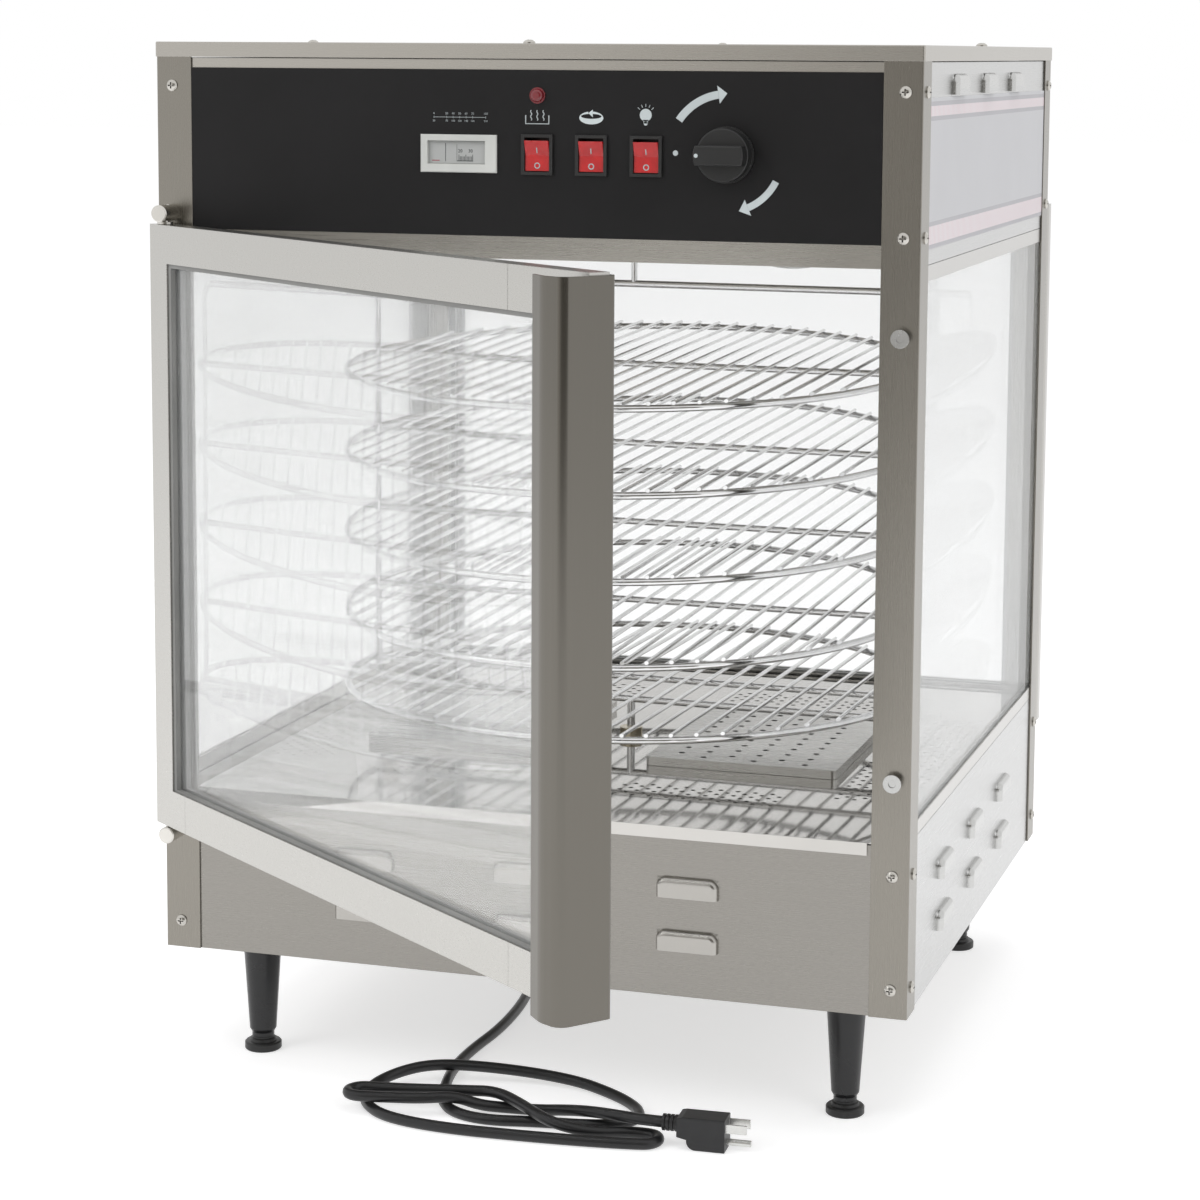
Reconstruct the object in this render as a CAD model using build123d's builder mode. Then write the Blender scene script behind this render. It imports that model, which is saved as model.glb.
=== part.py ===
from build123d import *
import math
import os

os.makedirs("parts", exist_ok=True)

# Countertop warmer with a turning five-tier wire rack. Millimetres, +Z up, front towards -Y.
# The origin is the centre of the cabinet's footprint on the counter.

# Cabinet
HALF_X = 280.0
HALF_Y = 265.0
BODY_LOW = 90.0
POST_TOP = 757.3
LID_LOW = 747.5
LID_TOP = 758.2
LID_OVERHANG = 0.8
LID_SHEET = 0.7
SHEET = 1.2
FLANGE = 27.0
GAP = 0.2
FRONT_PANEL = HALF_Y - SHEET - GAP - SHEET
SIDE_PANEL = HALF_X - SHEET - GAP - SHEET
PANEL_HALF_X = 276.0
PANEL_HALF_Y = 262.0
HEADER_LOW = 608.5
HEADER_SIDE_LOW = 610.0
HEADER_HIGH = 747.0
BASE_LOW = 90.2
BASE_FRONT_HIGH = 211.2
BASE_SIDE_HIGH = 213.0
RETURN = 24.0
CEILING_LOW = 609.8
FLOOR_TOP = 212.5
FLOOR_SHEET = 1.0
BOTTOM_PLATE_LOW = 91.6

# Side glass and its channels
GLASS_IN = 274.4
GLASS_OUT = 277.4
CHANNEL_IN = 273.2
CHANNEL_OUT = 278.6

# Louvres
LOUVRE_LENGTH = 44.6
LOUVRE_HEIGHT = 14.0
LOUVRE_BULGE = 5.0
FRONT_LOUVRES = [(x, z) for x in (-122, 0, 122) for z in (169.5, 131)]
SIDE_LOUVRES_Y = (-133.5, -14, 105.5)
HEADER_LOUVRES_Y = (-135, -20, 94)

# Screws, by wall: sideways and height
SCREW_HEIGHTS = (727, 629.4, 190.5, 110)
SCREW_FRONT_X = 268.0
SCREW_SIDE_Y = 252.0
SCREW_HOLE = 2.1
SCREW_SHANK = 1.9
SCREW_HEAD = 4.2

# Doors
DOOR_WIDTH = 561.2
DOOR_THICK = 14.4
DOOR_LOW = 187.6
DOOR_HIGH = 628.0
DOOR_OPEN = 37.9
STILE = 27.4
TOP_RAIL = 27.5
BOTTOM_RAIL = 27.8
DOOR_SHEET = 1.2
PIN_FROM_EDGE = 12.0
PIN_FROM_FACE = 7.2
PIN_X = -268.0
PIN_OUT = 13.8
PIN_R = 3.0
RUNNING = 0.05
STUD_R = 6.1
STUD_LENGTH = 25.0
STUD_HIGH = 636.0
STUD_LOW = 180.6
MAGNET_HEIGHTS = (562.3, 257.1)

# Rack
RING_R = 224.0
RING_WIRE = 2.75
FRAME_X = 218.4
FRAME_WIRE = 2.8
FRAME_HIGH = 572.8
FRAME_LOW = 242.4
MID_WIRE = 2.5
CROSS_WIRE = 1.5
CROSS_PITCH = 16.5
CROSS_COUNT = 25
TIER_HEIGHTS = (510.0, 447.5, 385.0, 322.5, 260.0)
TIER_LEANS = (2.5, 2.5, 2.5, 2.5, 0.0)
RACK_TURN = -2.0
STUB_R = 3.2
SPINDLE_R = 2.4

# Controls on the fascia
FASCIA_X = 252.7
FASCIA_LOW = 624.5
FASCIA_HIGH = 740.0
FASCIA_BACK = 263.7
SWITCH_X = (9.3, 48.6, 88.1)
SWITCH_Z = 681.6
KNOB_X = 145.3
KNOB_Z = 683.5

# Walls seen from outside: local x runs right, local y runs up, local z points out
FRONT = Plane(origin=(0, 0, 0), x_dir=(1, 0, 0), z_dir=(0, -1, 0))
REAR = Plane(origin=(0, 0, 0), x_dir=(-1, 0, 0), z_dir=(0, 1, 0))
RIGHT = Plane(origin=(0, 0, 0), x_dir=(0, 1, 0), z_dir=(1, 0, 0))
LEFT = Plane(origin=(0, 0, 0), x_dir=(0, -1, 0), z_dir=(-1, 0, 0))


def on_wall(wall, across, up, out):
    return wall.location * Location((across, up, out))


FRONT_SCREWS = [(SCREW_FRONT_X, z) for z in SCREW_HEIGHTS]
FRONT_SCREWS += [(-SCREW_FRONT_X, z) for z in (SCREW_HEIGHTS[0], SCREW_HEIGHTS[-1])]
SIDE_SCREWS = [(side * SCREW_SIDE_Y, z) for side in (-1, 1) for z in SCREW_HEIGHTS]
LID_SCREWS = [(0, -256), (0, 256), (-270, 0), (270, 0)]


def screw_sites(wall):
    flat = wall in (FRONT, REAR)
    out = HALF_Y if flat else HALF_X
    return [on_wall(wall, across, up, out) for across, up in (FRONT_SCREWS if flat else SIDE_SCREWS)]


# Lid: shallow tray turned down round the tops of the posts
with BuildPart() as lid:
    with BuildSketch(Plane.XY.offset(LID_LOW)):
        RectangleRounded(2 * (HALF_X + LID_OVERHANG), 2 * (HALF_Y + LID_OVERHANG), 1.5)
    extrude(amount=LID_TOP - LID_LOW)
    fillet(lid.faces().sort_by(Axis.Z)[-1].edges(), 0.9)
    with BuildSketch(Plane.XY.offset(LID_LOW)):
        Rectangle(2 * (HALF_X + LID_OVERHANG - LID_SHEET), 2 * (HALF_Y + LID_OVERHANG - LID_SHEET))
    extrude(amount=LID_TOP - LID_SHEET - LID_LOW, mode=Mode.SUBTRACT)
    with BuildSketch(Plane.XY.offset(LID_LOW)):
        with Locations(*LID_SCREWS):
            Circle(SCREW_HOLE)
    extrude(amount=2 * (LID_TOP - LID_LOW), mode=Mode.SUBTRACT)
lid.part.label = "lid"
export_step(lid.part, "parts/lid.step")


# Louvre: a pressed hood with its mouth downwards, drawn lying flat, out along +Z
LIP = 3.5
TAPER = 5.0
with BuildPart() as louvre:
    with BuildSketch():
        Rectangle(LOUVRE_LENGTH, LOUVRE_HEIGHT)
    with BuildSketch(Plane.XY.offset(LOUVRE_BULGE)):
        with Locations((0, (LIP - LOUVRE_HEIGHT) / 2)):
            Rectangle(LOUVRE_LENGTH - 2 * TAPER, LIP)
    loft(ruled=True)
    with BuildSketch():
        with Locations((0, -SHEET)):
            Rectangle(LOUVRE_LENGTH - 2 * SHEET, LOUVRE_HEIGHT)
    with BuildSketch(Plane.XY.offset(LOUVRE_BULGE - SHEET)):
        with Locations((0, (LIP - LOUVRE_HEIGHT) / 2 - SHEET)):
            Rectangle(LOUVRE_LENGTH - 2 * TAPER, LIP)
    loft(ruled=True, mode=Mode.SUBTRACT)


def wall_panel(wall, reach, half_width, low, high, louvres, screws):
    with BuildPart() as panel:
        with BuildSketch(wall.offset(reach)):
            with Locations((0, (low + high) / 2)):
                Rectangle(2 * half_width, high - low)
            if louvres:
                with Locations(*louvres):
                    Rectangle(LOUVRE_LENGTH - 2 * SHEET, LOUVRE_HEIGHT - 2 * SHEET, mode=Mode.SUBTRACT)
        extrude(amount=SHEET)
        if louvres:
            with Locations(*[on_wall(wall, across, up, reach + SHEET) for across, up in louvres]):
                add(louvre.part)
        with Locations(*screws):
            Cylinder(SCREW_HOLE, 12, mode=Mode.SUBTRACT)
    return panel.part


RETURN_HALF = 250.0
CORD_X = -80.0
CORD_Z = 130.0
CORD_HOLE = 6.4
CONTROL_WINDOW = (42.0, 685.0, 256.0, 90.0)

with BuildPart() as header_front:
    add(wall_panel(FRONT, FRONT_PANEL, PANEL_HALF_X, HEADER_LOW, HEADER_HIGH, [], screw_sites(FRONT)))
    with Locations(on_wall(FRONT, 0, HEADER_LOW + SHEET / 2, FRONT_PANEL + SHEET - RETURN / 2)):
        Box(2 * RETURN_HALF, SHEET, RETURN)
    with Locations(on_wall(FRONT, CONTROL_WINDOW[0], CONTROL_WINDOW[1], FRONT_PANEL)):
        Box(CONTROL_WINDOW[2], CONTROL_WINDOW[3], 4 * SHEET, mode=Mode.SUBTRACT)
header_front.part.label = "header_front"
export_step(header_front.part, "parts/header_front.step")

with BuildPart() as header_rear:
    rear_louvres = [(x, 700) for x in (-122, 0, 122)]
    add(wall_panel(REAR, FRONT_PANEL, PANEL_HALF_X, HEADER_LOW, HEADER_HIGH, rear_louvres, screw_sites(REAR)))
    with Locations(on_wall(REAR, 0, HEADER_LOW + SHEET / 2, FRONT_PANEL + SHEET - RETURN / 2)):
        Box(2 * RETURN_HALF, SHEET, RETURN)
header_rear.part.label = "header_rear"
export_step(header_rear.part, "parts/header_rear.step")

with BuildPart() as header_side_left:
    left_louvres = [(-y, 731.5) for y in HEADER_LOUVRES_Y]
    add(wall_panel(LEFT, SIDE_PANEL, PANEL_HALF_Y, HEADER_SIDE_LOW, HEADER_HIGH, left_louvres, screw_sites(LEFT)))
header_side_left.part.label = "header_side_left"
export_step(header_side_left.part, "parts/header_side_left.step")

with BuildPart() as header_side_right:
    right_louvres = [(y, 731.5) for y in HEADER_LOUVRES_Y]
    add(wall_panel(RIGHT, SIDE_PANEL, PANEL_HALF_Y, HEADER_SIDE_LOW, HEADER_HIGH, right_louvres, screw_sites(RIGHT)))
header_side_right.part.label = "header_side_right"
export_step(header_side_right.part, "parts/header_side_right.step")

with BuildPart() as base_front:
    add(wall_panel(FRONT, FRONT_PANEL, PANEL_HALF_X, BASE_LOW, BASE_FRONT_HIGH, FRONT_LOUVRES, screw_sites(FRONT)))
    with Locations(on_wall(FRONT, 0, BASE_LOW + SHEET / 2, FRONT_PANEL + SHEET - RETURN / 2)):
        Box(2 * RETURN_HALF, SHEET, RETURN)
base_front.part.label = "base_front"
export_step(base_front.part, "parts/base_front.step")

with BuildPart() as base_rear:
    add(wall_panel(REAR, FRONT_PANEL, PANEL_HALF_X, BASE_LOW, BASE_FRONT_HIGH, FRONT_LOUVRES, screw_sites(REAR)))
    with Locations(on_wall(REAR, 0, BASE_LOW + SHEET / 2, FRONT_PANEL + SHEET - RETURN / 2)):
        Box(2 * RETURN_HALF, SHEET, RETURN)
    with Locations(on_wall(REAR, -CORD_X, CORD_Z, FRONT_PANEL)):
        Cylinder(CORD_HOLE, 12, mode=Mode.SUBTRACT)
base_rear.part.label = "base_rear"
export_step(base_rear.part, "parts/base_rear.step")

with BuildPart() as base_side_left:
    left_vents = [(-y, z) for y in SIDE_LOUVRES_Y for z in (168.5, 130)]
    add(wall_panel(LEFT, SIDE_PANEL, PANEL_HALF_Y, BASE_LOW, BASE_SIDE_HIGH, left_vents, screw_sites(LEFT)))
base_side_left.part.label = "base_side_left"
export_step(base_side_left.part, "parts/base_side_left.step")

with BuildPart() as base_side_right:
    right_vents = [(y, z) for y in SIDE_LOUVRES_Y for z in (168.5, 130)]
    add(wall_panel(RIGHT, SIDE_PANEL, PANEL_HALF_Y, BASE_LOW, BASE_SIDE_HIGH, right_vents, screw_sites(RIGHT)))
base_side_right.part.label = "base_side_right"
export_step(base_side_right.part, "parts/base_side_right.step")


# Corner posts: angles standing the full height of the cabinet
def corner_post(side_x, side_y, walls):
    with BuildPart() as post:
        with BuildSketch(Plane.XY.offset(BODY_LOW)):
            with Locations((side_x * (HALF_X - FLANGE / 2), side_y * (HALF_Y - FLANGE / 2))):
                Rectangle(FLANGE, FLANGE)
            inner = FLANGE / 2 + SHEET
            with Locations((side_x * (HALF_X - inner), side_y * (HALF_Y - inner))):
                Rectangle(FLANGE, FLANGE, mode=Mode.SUBTRACT)
        extrude(amount=POST_TOP - BODY_LOW)
        corner = (side_x * HALF_X, side_y * HALF_Y, (BODY_LOW + POST_TOP) / 2)
        fillet(post.edges().filter_by(Axis.Z).sort_by_distance(corner)[0], 1.0)
        with Locations(*screw_sites(walls[0]), *screw_sites(walls[1])):
            Cylinder(SCREW_HOLE, 12, mode=Mode.SUBTRACT)
    return post.part


with BuildPart() as post_front_left:
    add(corner_post(-1, -1, (FRONT, LEFT)))
post_front_left.part.label = "post_front_left"
export_step(post_front_left.part, "parts/post_front_left.step")

with BuildPart() as post_front_right:
    add(corner_post(1, -1, (FRONT, RIGHT)))
post_front_right.part.label = "post_front_right"
export_step(post_front_right.part, "parts/post_front_right.step")

with BuildPart() as post_rear_left:
    add(corner_post(-1, 1, (REAR, LEFT)))
post_rear_left.part.label = "post_rear_left"
export_step(post_rear_left.part, "parts/post_rear_left.step")

with BuildPart() as post_rear_right:
    add(corner_post(1, 1, (REAR, RIGHT)))
post_rear_right.part.label = "post_rear_right"
export_step(post_rear_right.part, "parts/post_rear_right.step")


# Pan-head screws with a cross recess, out along +Z
with BuildPart() as screw:
    with BuildSketch(Plane.XZ):
        with BuildLine():
            Polyline((0, -5), (SCREW_SHANK, -5), (SCREW_SHANK, 0), (SCREW_HEAD, 0), (SCREW_HEAD, 0.9))
            ThreePointArc((SCREW_HEAD, 0.9), (3.0, 2.0), (0, 2.5))
            Line((0, 2.5), (0, -5))
        make_face()
    revolve(axis=Axis.Z)
    with Locations((0, 0, 2.2)):
        Box(4.6, 0.9, 1.8, mode=Mode.SUBTRACT)
        Box(0.9, 4.6, 1.8, mode=Mode.SUBTRACT)

with BuildPart() as screws:
    for wall in (FRONT, REAR, LEFT, RIGHT):
        with Locations(*screw_sites(wall)):
            add(screw.part)
    with Locations(*[(x, y, LID_TOP) for x, y in LID_SCREWS]):
        add(screw.part)
screws.part.label = "screws"
export_step(screws.part, "parts/screws.step")


# Printed side signs: thin panels on the outside of the header sides
SIGN_HALF = 237.0
SIGN_LOW = 620.5
SIGN_HIGH = 723.0
SIGN_THICK = 0.7
with BuildPart() as sign_panels:
    for wall in (LEFT, RIGHT):
        with BuildSketch(wall.offset(SIDE_PANEL + SHEET + 0.05)):
            with Locations((0, (SIGN_LOW + SIGN_HIGH) / 2)):
                Rectangle(2 * SIGN_HALF, SIGN_HIGH - SIGN_LOW)
        extrude(amount=SIGN_THICK)
sign_panels.part.label = "sign_panels"
export_step(sign_panels.part, "parts/sign_panels.step")


# Inner plates
LENS_X = 168.0
LENS_Y = -165.0
LENS_R = 38.0
with BuildPart() as ceiling_plate:
    with BuildSketch(Plane.XY.offset(CEILING_LOW)):
        Rectangle(2 * PANEL_HALF_X, 2 * PANEL_HALF_Y)
        Circle(9, mode=Mode.SUBTRACT)
        with Locations((LENS_X, LENS_Y)):
            Circle(LENS_R + 0.6, mode=Mode.SUBTRACT)
    extrude(amount=SHEET)
ceiling_plate.part.label = "ceiling_plate"
export_step(ceiling_plate.part, "parts/ceiling_plate.step")

LEG_X = 226.0
LEG_Y = 212.7
LEG_SITES = [(x * LEG_X, y * LEG_Y) for x in (-1, 1) for y in (-1, 1)]
with BuildPart() as bottom_plate:
    with BuildSketch(Plane.XY.offset(BOTTOM_PLATE_LOW)):
        Rectangle(2 * 275.0, 2 * PANEL_HALF_Y)
        with GridLocations(60, 0, 5, 1):
            SlotOverall(120, 8, rotation=90, mode=Mode.SUBTRACT)
    extrude(amount=SHEET)
bottom_plate.part.label = "bottom_plate"
export_step(bottom_plate.part, "parts/bottom_plate.step")

PAN_IN = 44.0
PAN_OUT = 184.0
PAN_HALF_Y = 88.0
PAN_X = (PAN_IN + PAN_OUT) / 2
VENT_R = 1.9
VENT_STEP = 6.55
FRONT_VENTS = [(i, j) for i in range(19) for j in range(6) if (i + j) % 2 == 0]
SIDE_VENTS = [(i, j) for i in range(9) for j in range(46) if (i + j) % 2 == 0]
vent_sites = []
for side in (-1, 1):
    vent_sites += [(side * (43 + VENT_STEP * i), -183.5 + VENT_STEP * j) for i, j in FRONT_VENTS]
    vent_sites += [(side * (43 + VENT_STEP * i), 151 + VENT_STEP * j) for i, j in FRONT_VENTS]
    vent_sites += [(side * (201.5 + VENT_STEP * i), -147 + VENT_STEP * j) for i, j in SIDE_VENTS]
with BuildPart() as floor_pan:
    with BuildSketch(Plane.XY.offset(FLOOR_TOP - FLOOR_SHEET)):
        Rectangle(2 * (CHANNEL_IN - 0.4), 2 * PANEL_HALF_Y)
        Rectangle(2 * RETURN_HALF, 2 * HALF_Y)
        with Locations((-PAN_X, 0), (PAN_X, 0)):
            Rectangle(PAN_OUT - PAN_IN, 2 * PAN_HALF_Y, mode=Mode.SUBTRACT)
        with Locations(*vent_sites):
            Circle(VENT_R, mode=Mode.SUBTRACT)
    extrude(amount=FLOOR_SHEET)
    for side in (-1, 1):
        with Locations((0, side * (HALF_Y - FLOOR_SHEET / 2), 208.5)):
            Box(2 * RETURN_HALF, FLOOR_SHEET, 9)
floor_pan.part.label = "floor_pan"
export_step(floor_pan.part, "parts/floor_pan.step")

# Water pans hang in the floor by their rims, under perforated covers
PAN_DEPTH = 40.0
with BuildPart() as water_pans:
    for side in (-1, 1):
        with BuildSketch(Plane.XY.offset(FLOOR_TOP - PAN_DEPTH)):
            with Locations((side * PAN_X, 0)):
                Rectangle(PAN_OUT - PAN_IN - 1, 2 * PAN_HALF_Y - 1)
        extrude(amount=PAN_DEPTH + 0.9)
        with BuildSketch(Plane.XY.offset(FLOOR_TOP + 0.1)):
            with Locations((side * PAN_X, 0)):
                Rectangle(PAN_OUT - PAN_IN + 5, 2 * PAN_HALF_Y + 5)
        extrude(amount=0.8)
        with BuildSketch(Plane.XY.offset(FLOOR_TOP - PAN_DEPTH + 1)):
            with Locations((side * PAN_X, 0)):
                Rectangle(PAN_OUT - PAN_IN - 3, 2 * PAN_HALF_Y - 3)
        extrude(amount=PAN_DEPTH + 2, mode=Mode.SUBTRACT)
water_pans.part.label = "water_pans"
export_step(water_pans.part, "parts/water_pans.step")

COVER_IN = 39.5
COVER_OUT = 188.5
COVER_HALF_Y = 93.0
COVER_LOW = FLOOR_TOP + 0.1
COVER_TOP = 219.5
COVER_COLUMNS = (62.7, 82.5, 102.5, 121.8, 141.7, 161.7)
COVER_STEP = 18.8
cover_sites = []
for column, x in enumerate(COVER_COLUMNS):
    shift = 0 if column % 2 else COVER_STEP / 2
    cover_sites += [(x, -82 + shift + COVER_STEP * j) for j in range(9)]
with BuildPart() as tray_covers:
    for side in (-1, 1):
        with BuildSketch(Plane.XY.offset(COVER_LOW)):
            with Locations((side * PAN_X, 0)):
                RectangleRounded(COVER_OUT - COVER_IN, 2 * COVER_HALF_Y, 4)
        extrude(amount=COVER_TOP - COVER_LOW)
        with BuildSketch(Plane.XY.offset(COVER_LOW)):
            with Locations((side * PAN_X, 0)):
                RectangleRounded(COVER_OUT - COVER_IN - 2, 2 * COVER_HALF_Y - 2, 3)
        extrude(amount=COVER_TOP - COVER_LOW - 1, mode=Mode.SUBTRACT)
        with BuildSketch(Plane.XY.offset(COVER_TOP - 3)):
            with Locations(*[(side * x, y) for x, y in cover_sites]):
                Circle(2.5)
        extrude(amount=6, mode=Mode.SUBTRACT)
tray_covers.part.label = "tray_covers"
export_step(tray_covers.part, "parts/tray_covers.step")


# Side glass in its upper and lower channels
def side_glass(side):
    with BuildPart() as pane:
        with BuildSketch(Plane.XY.offset(214.6)):
            with Locations((side * (GLASS_IN + GLASS_OUT) / 2, 0)):
                Rectangle(GLASS_OUT - GLASS_IN, 2 * 261.8)
        extrude(amount=608.2 - 214.6)
    return pane.part


with BuildPart() as side_glass_left:
    add(side_glass(-1))
side_glass_left.part.label = "side_glass_left"
export_step(side_glass_left.part, "parts/side_glass_left.step")

with BuildPart() as side_glass_right:
    add(side_glass(1))
side_glass_right.part.label = "side_glass_right"
export_step(side_glass_right.part, "parts/side_glass_right.step")

with BuildPart() as glass_channels:
    for side in (-1, 1):
        for low, high, slot_low, slot_high in ((213.4, 223.2, 214.5, 224), (598.6, 609.6, 598, 608.3)):
            with BuildSketch(Plane.XY.offset(low)):
                with Locations((side * (CHANNEL_IN + CHANNEL_OUT) / 2, 0)):
                    Rectangle(CHANNEL_OUT - CHANNEL_IN, 2 * PANEL_HALF_Y)
            extrude(amount=high - low)
            with BuildSketch(Plane.XY.offset(slot_low)):
                with Locations((side * (GLASS_IN + GLASS_OUT) / 2, 0)):
                    Rectangle(GLASS_OUT - GLASS_IN + 0.2, 2 * HALF_Y)
            extrude(amount=slot_high - slot_low, mode=Mode.SUBTRACT)
glass_channels.part.label = "glass_channels"
export_step(glass_channels.part, "parts/glass_channels.step")


# Heating element: one unbroken tube in the base, clamped in a terminal bracket at the rear
ELEMENT_Z = 150.0
ELEMENT_R = 4.0
with BuildPart() as heating_element:
    with BuildLine() as element_line:
        FilletPolyline(
            (-40, 238, ELEMENT_Z), (-40, 170, ELEMENT_Z), (-190, 170, ELEMENT_Z), (-190, -170, ELEMENT_Z),
            (190, -170, ELEMENT_Z), (190, 170, ELEMENT_Z), (40, 170, ELEMENT_Z), (40, 238, ELEMENT_Z),
            radius=28)
    with BuildSketch(Plane(origin=element_line.line @ 0, z_dir=element_line.line % 0)):
        Circle(ELEMENT_R)
    sweep()
    with Locations((0, 236, (93.0 + 176.0) / 2)):
        Box(130, 2, 176 - 93)
    for side in (-1, 1):
        with Locations((side * 150, -170, (93.0 + 154.0) / 2)):
            Box(14, 3, 154 - 93)
heating_element.part.label = "heating_element"
export_step(heating_element.part, "parts/heating_element.step")


# Doors. Plan view in each door's own plane: x from the hinge edge to the handle, y from the face inwards
def hinge_plane(pin_x, pin_y, turn):
    along = Vector(math.cos(math.radians(turn)), math.sin(math.radians(turn)), 0)
    inward = Vector(-along.Y, along.X, 0)
    corner = Vector(pin_x, pin_y, 0) - along * PIN_FROM_EDGE - inward * PIN_FROM_FACE
    return Plane(origin=corner, x_dir=along, z_dir=(0, 0, 1))


FRONT_DOOR = hinge_plane(PIN_X, -HALF_Y - PIN_OUT, -DOOR_OPEN)
REAR_DOOR = hinge_plane(-PIN_X, HALF_Y + PIN_OUT, 180)
SEAMS = ((46.8, DOOR_LOW, BOTTOM_RAIL), (478.0, DOOR_LOW, BOTTOM_RAIL), (476.0, DOOR_HIGH - TOP_RAIL, TOP_RAIL))


def door_frame(plane):
    with BuildPart() as frame:
        with BuildSketch(plane.offset(DOOR_LOW)) as outline:
            with Locations((DOOR_WIDTH / 2, DOOR_THICK / 2)):
                Rectangle(DOOR_WIDTH, DOOR_THICK)
            fillet(outline.vertices().sort_by_distance((0, DOOR_THICK))[0], 4)
            fillet(outline.vertices().sort_by_distance((0, 0))[0], 2)
        extrude(amount=DOOR_HIGH - DOOR_LOW)
        with BuildSketch(plane.offset(DOOR_LOW + DOOR_SHEET)):
            with Locations(((5 + DOOR_WIDTH - DOOR_SHEET) / 2, DOOR_THICK / 2)):
                Rectangle(DOOR_WIDTH - DOOR_SHEET - 5, DOOR_THICK - 2 * DOOR_SHEET)
        extrude(amount=DOOR_HIGH - DOOR_LOW - 2 * DOOR_SHEET, mode=Mode.SUBTRACT)
        with BuildSketch(plane.offset(DOOR_LOW + BOTTOM_RAIL)):
            with Locations((DOOR_WIDTH / 2, DOOR_THICK / 2)):
                Rectangle(DOOR_WIDTH - 2 * STILE, 2 * DOOR_THICK)
        extrude(amount=DOOR_HIGH - DOOR_LOW - TOP_RAIL - BOTTOM_RAIL, mode=Mode.SUBTRACT)
        for height in (DOOR_LOW - 1, DOOR_HIGH - 2):
            with BuildSketch(plane.offset(height)):
                with Locations((PIN_FROM_EDGE, PIN_FROM_FACE)):
                    Circle(PIN_R + RUNNING)
            extrude(amount=3, mode=Mode.SUBTRACT)
        for along, low, tall in SEAMS:
            with BuildSketch(plane.offset(low)):
                with Locations((along, 0)):
                    Rectangle(0.3, 0.6)
            extrude(amount=tall, mode=Mode.SUBTRACT)
    return frame.part


GLASS_EDGE = 25.0
DOOR_GLASS_FACE = 5.2
DOOR_GLASS = 4.0
GASKET_LIP = 4.0


def door_block(plane, edge, near, far, low, high, mode=Mode.ADD):
    with BuildSketch(plane.offset(low)) as outline:
        with Locations((DOOR_WIDTH / 2, (near + far) / 2)):
            Rectangle(DOOR_WIDTH - 2 * edge, far - near)
    extrude(outline.sketch, amount=high - low, mode=mode)


def door_gasket(plane):
    with BuildPart() as gasket:
        door_block(plane, 24, 1.4, 13.0, DOOR_LOW + 24.4, DOOR_HIGH - 24.1)
        lip_low = DOOR_LOW + BOTTOM_RAIL + 1.5
        door_block(plane, STILE + GASKET_LIP, 0, 15, lip_low, DOOR_HIGH - TOP_RAIL - 3, Mode.SUBTRACT)
        door_block(plane, GLASS_EDGE - 0.1, 5.1, 9.3, DOOR_LOW + 25.3, DOOR_HIGH - 25.0, Mode.SUBTRACT)
    return gasket.part


def door_glass(plane):
    with BuildPart() as pane:
        far = DOOR_GLASS_FACE + DOOR_GLASS
        door_block(plane, GLASS_EDGE, DOOR_GLASS_FACE, far, DOOR_LOW + 25.4, DOOR_HIGH - 25.1)
    return pane.part


HANDLE_LOW = 187.6
HANDLE_HIGH = 626.2
HANDLE_SHEET = 1.3


def door_handle(plane):
    with BuildPart() as handle:
        with BuildSketch(plane.offset(HANDLE_LOW)):
            with BuildLine():
                FilletPolyline((531.5, -19), (546, -22), (562.4, -19.5), (563.4, 17.6), (556.5, 17.8), radius=(20, 9, 3))
                offset(amount=HANDLE_SHEET, side=Side.LEFT, closed=True)
            make_face()
        extrude(amount=HANDLE_HIGH - HANDLE_LOW)
    return handle.part


with BuildPart() as front_door_frame:
    add(door_frame(FRONT_DOOR))
front_door_frame.part.label = "front_door_frame"
export_step(front_door_frame.part, "parts/front_door_frame.step")

with BuildPart() as front_door_gasket:
    add(door_gasket(FRONT_DOOR))
front_door_gasket.part.label = "front_door_gasket"
export_step(front_door_gasket.part, "parts/front_door_gasket.step")

with BuildPart() as front_door_glass:
    add(door_glass(FRONT_DOOR))
front_door_glass.part.label = "front_door_glass"
export_step(front_door_glass.part, "parts/front_door_glass.step")

with BuildPart() as front_door_handle:
    add(door_handle(FRONT_DOOR))
front_door_handle.part.label = "front_door_handle"
export_step(front_door_handle.part, "parts/front_door_handle.step")

with BuildPart() as rear_door_frame:
    add(door_frame(REAR_DOOR))
rear_door_frame.part.label = "rear_door_frame"
export_step(rear_door_frame.part, "parts/rear_door_frame.step")

with BuildPart() as rear_door_gasket:
    add(door_gasket(REAR_DOOR))
rear_door_gasket.part.label = "rear_door_gasket"
export_step(rear_door_gasket.part, "parts/rear_door_gasket.step")

with BuildPart() as rear_door_glass:
    add(door_glass(REAR_DOOR))
rear_door_glass.part.label = "rear_door_glass"
export_step(rear_door_glass.part, "parts/rear_door_glass.step")

with BuildPart() as rear_door_handle:
    add(door_handle(REAR_DOOR))
rear_door_handle.part.label = "rear_door_handle"
export_step(rear_door_handle.part, "parts/rear_door_handle.step")


# Hinges: round studs standing out of the posts, with upright pins into the door's corners
with BuildPart() as hinge_studs:
    for wall in (FRONT, REAR):
        for height in (STUD_HIGH, STUD_LOW):
            with Locations(on_wall(wall, PIN_X, height, HALF_Y + STUD_LENGTH / 2)):
                Cylinder(STUD_R, STUD_LENGTH)
            with Locations(Location((wall.x_dir.X * PIN_X, wall.z_dir.Y * (HALF_Y + PIN_OUT), height))):
                Cylinder(PIN_R + RUNNING, 4 * STUD_R, mode=Mode.SUBTRACT)
    caps = hinge_studs.edges().filter_by(GeomType.CIRCLE).group_by(SortBy.RADIUS)[-1]
    chamfer([edge for edge in caps if abs(edge.center().Y) > HALF_Y + 1], 0.8)
hinge_studs.part.label = "hinge_studs"
export_step(hinge_studs.part, "parts/hinge_studs.step")

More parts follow.
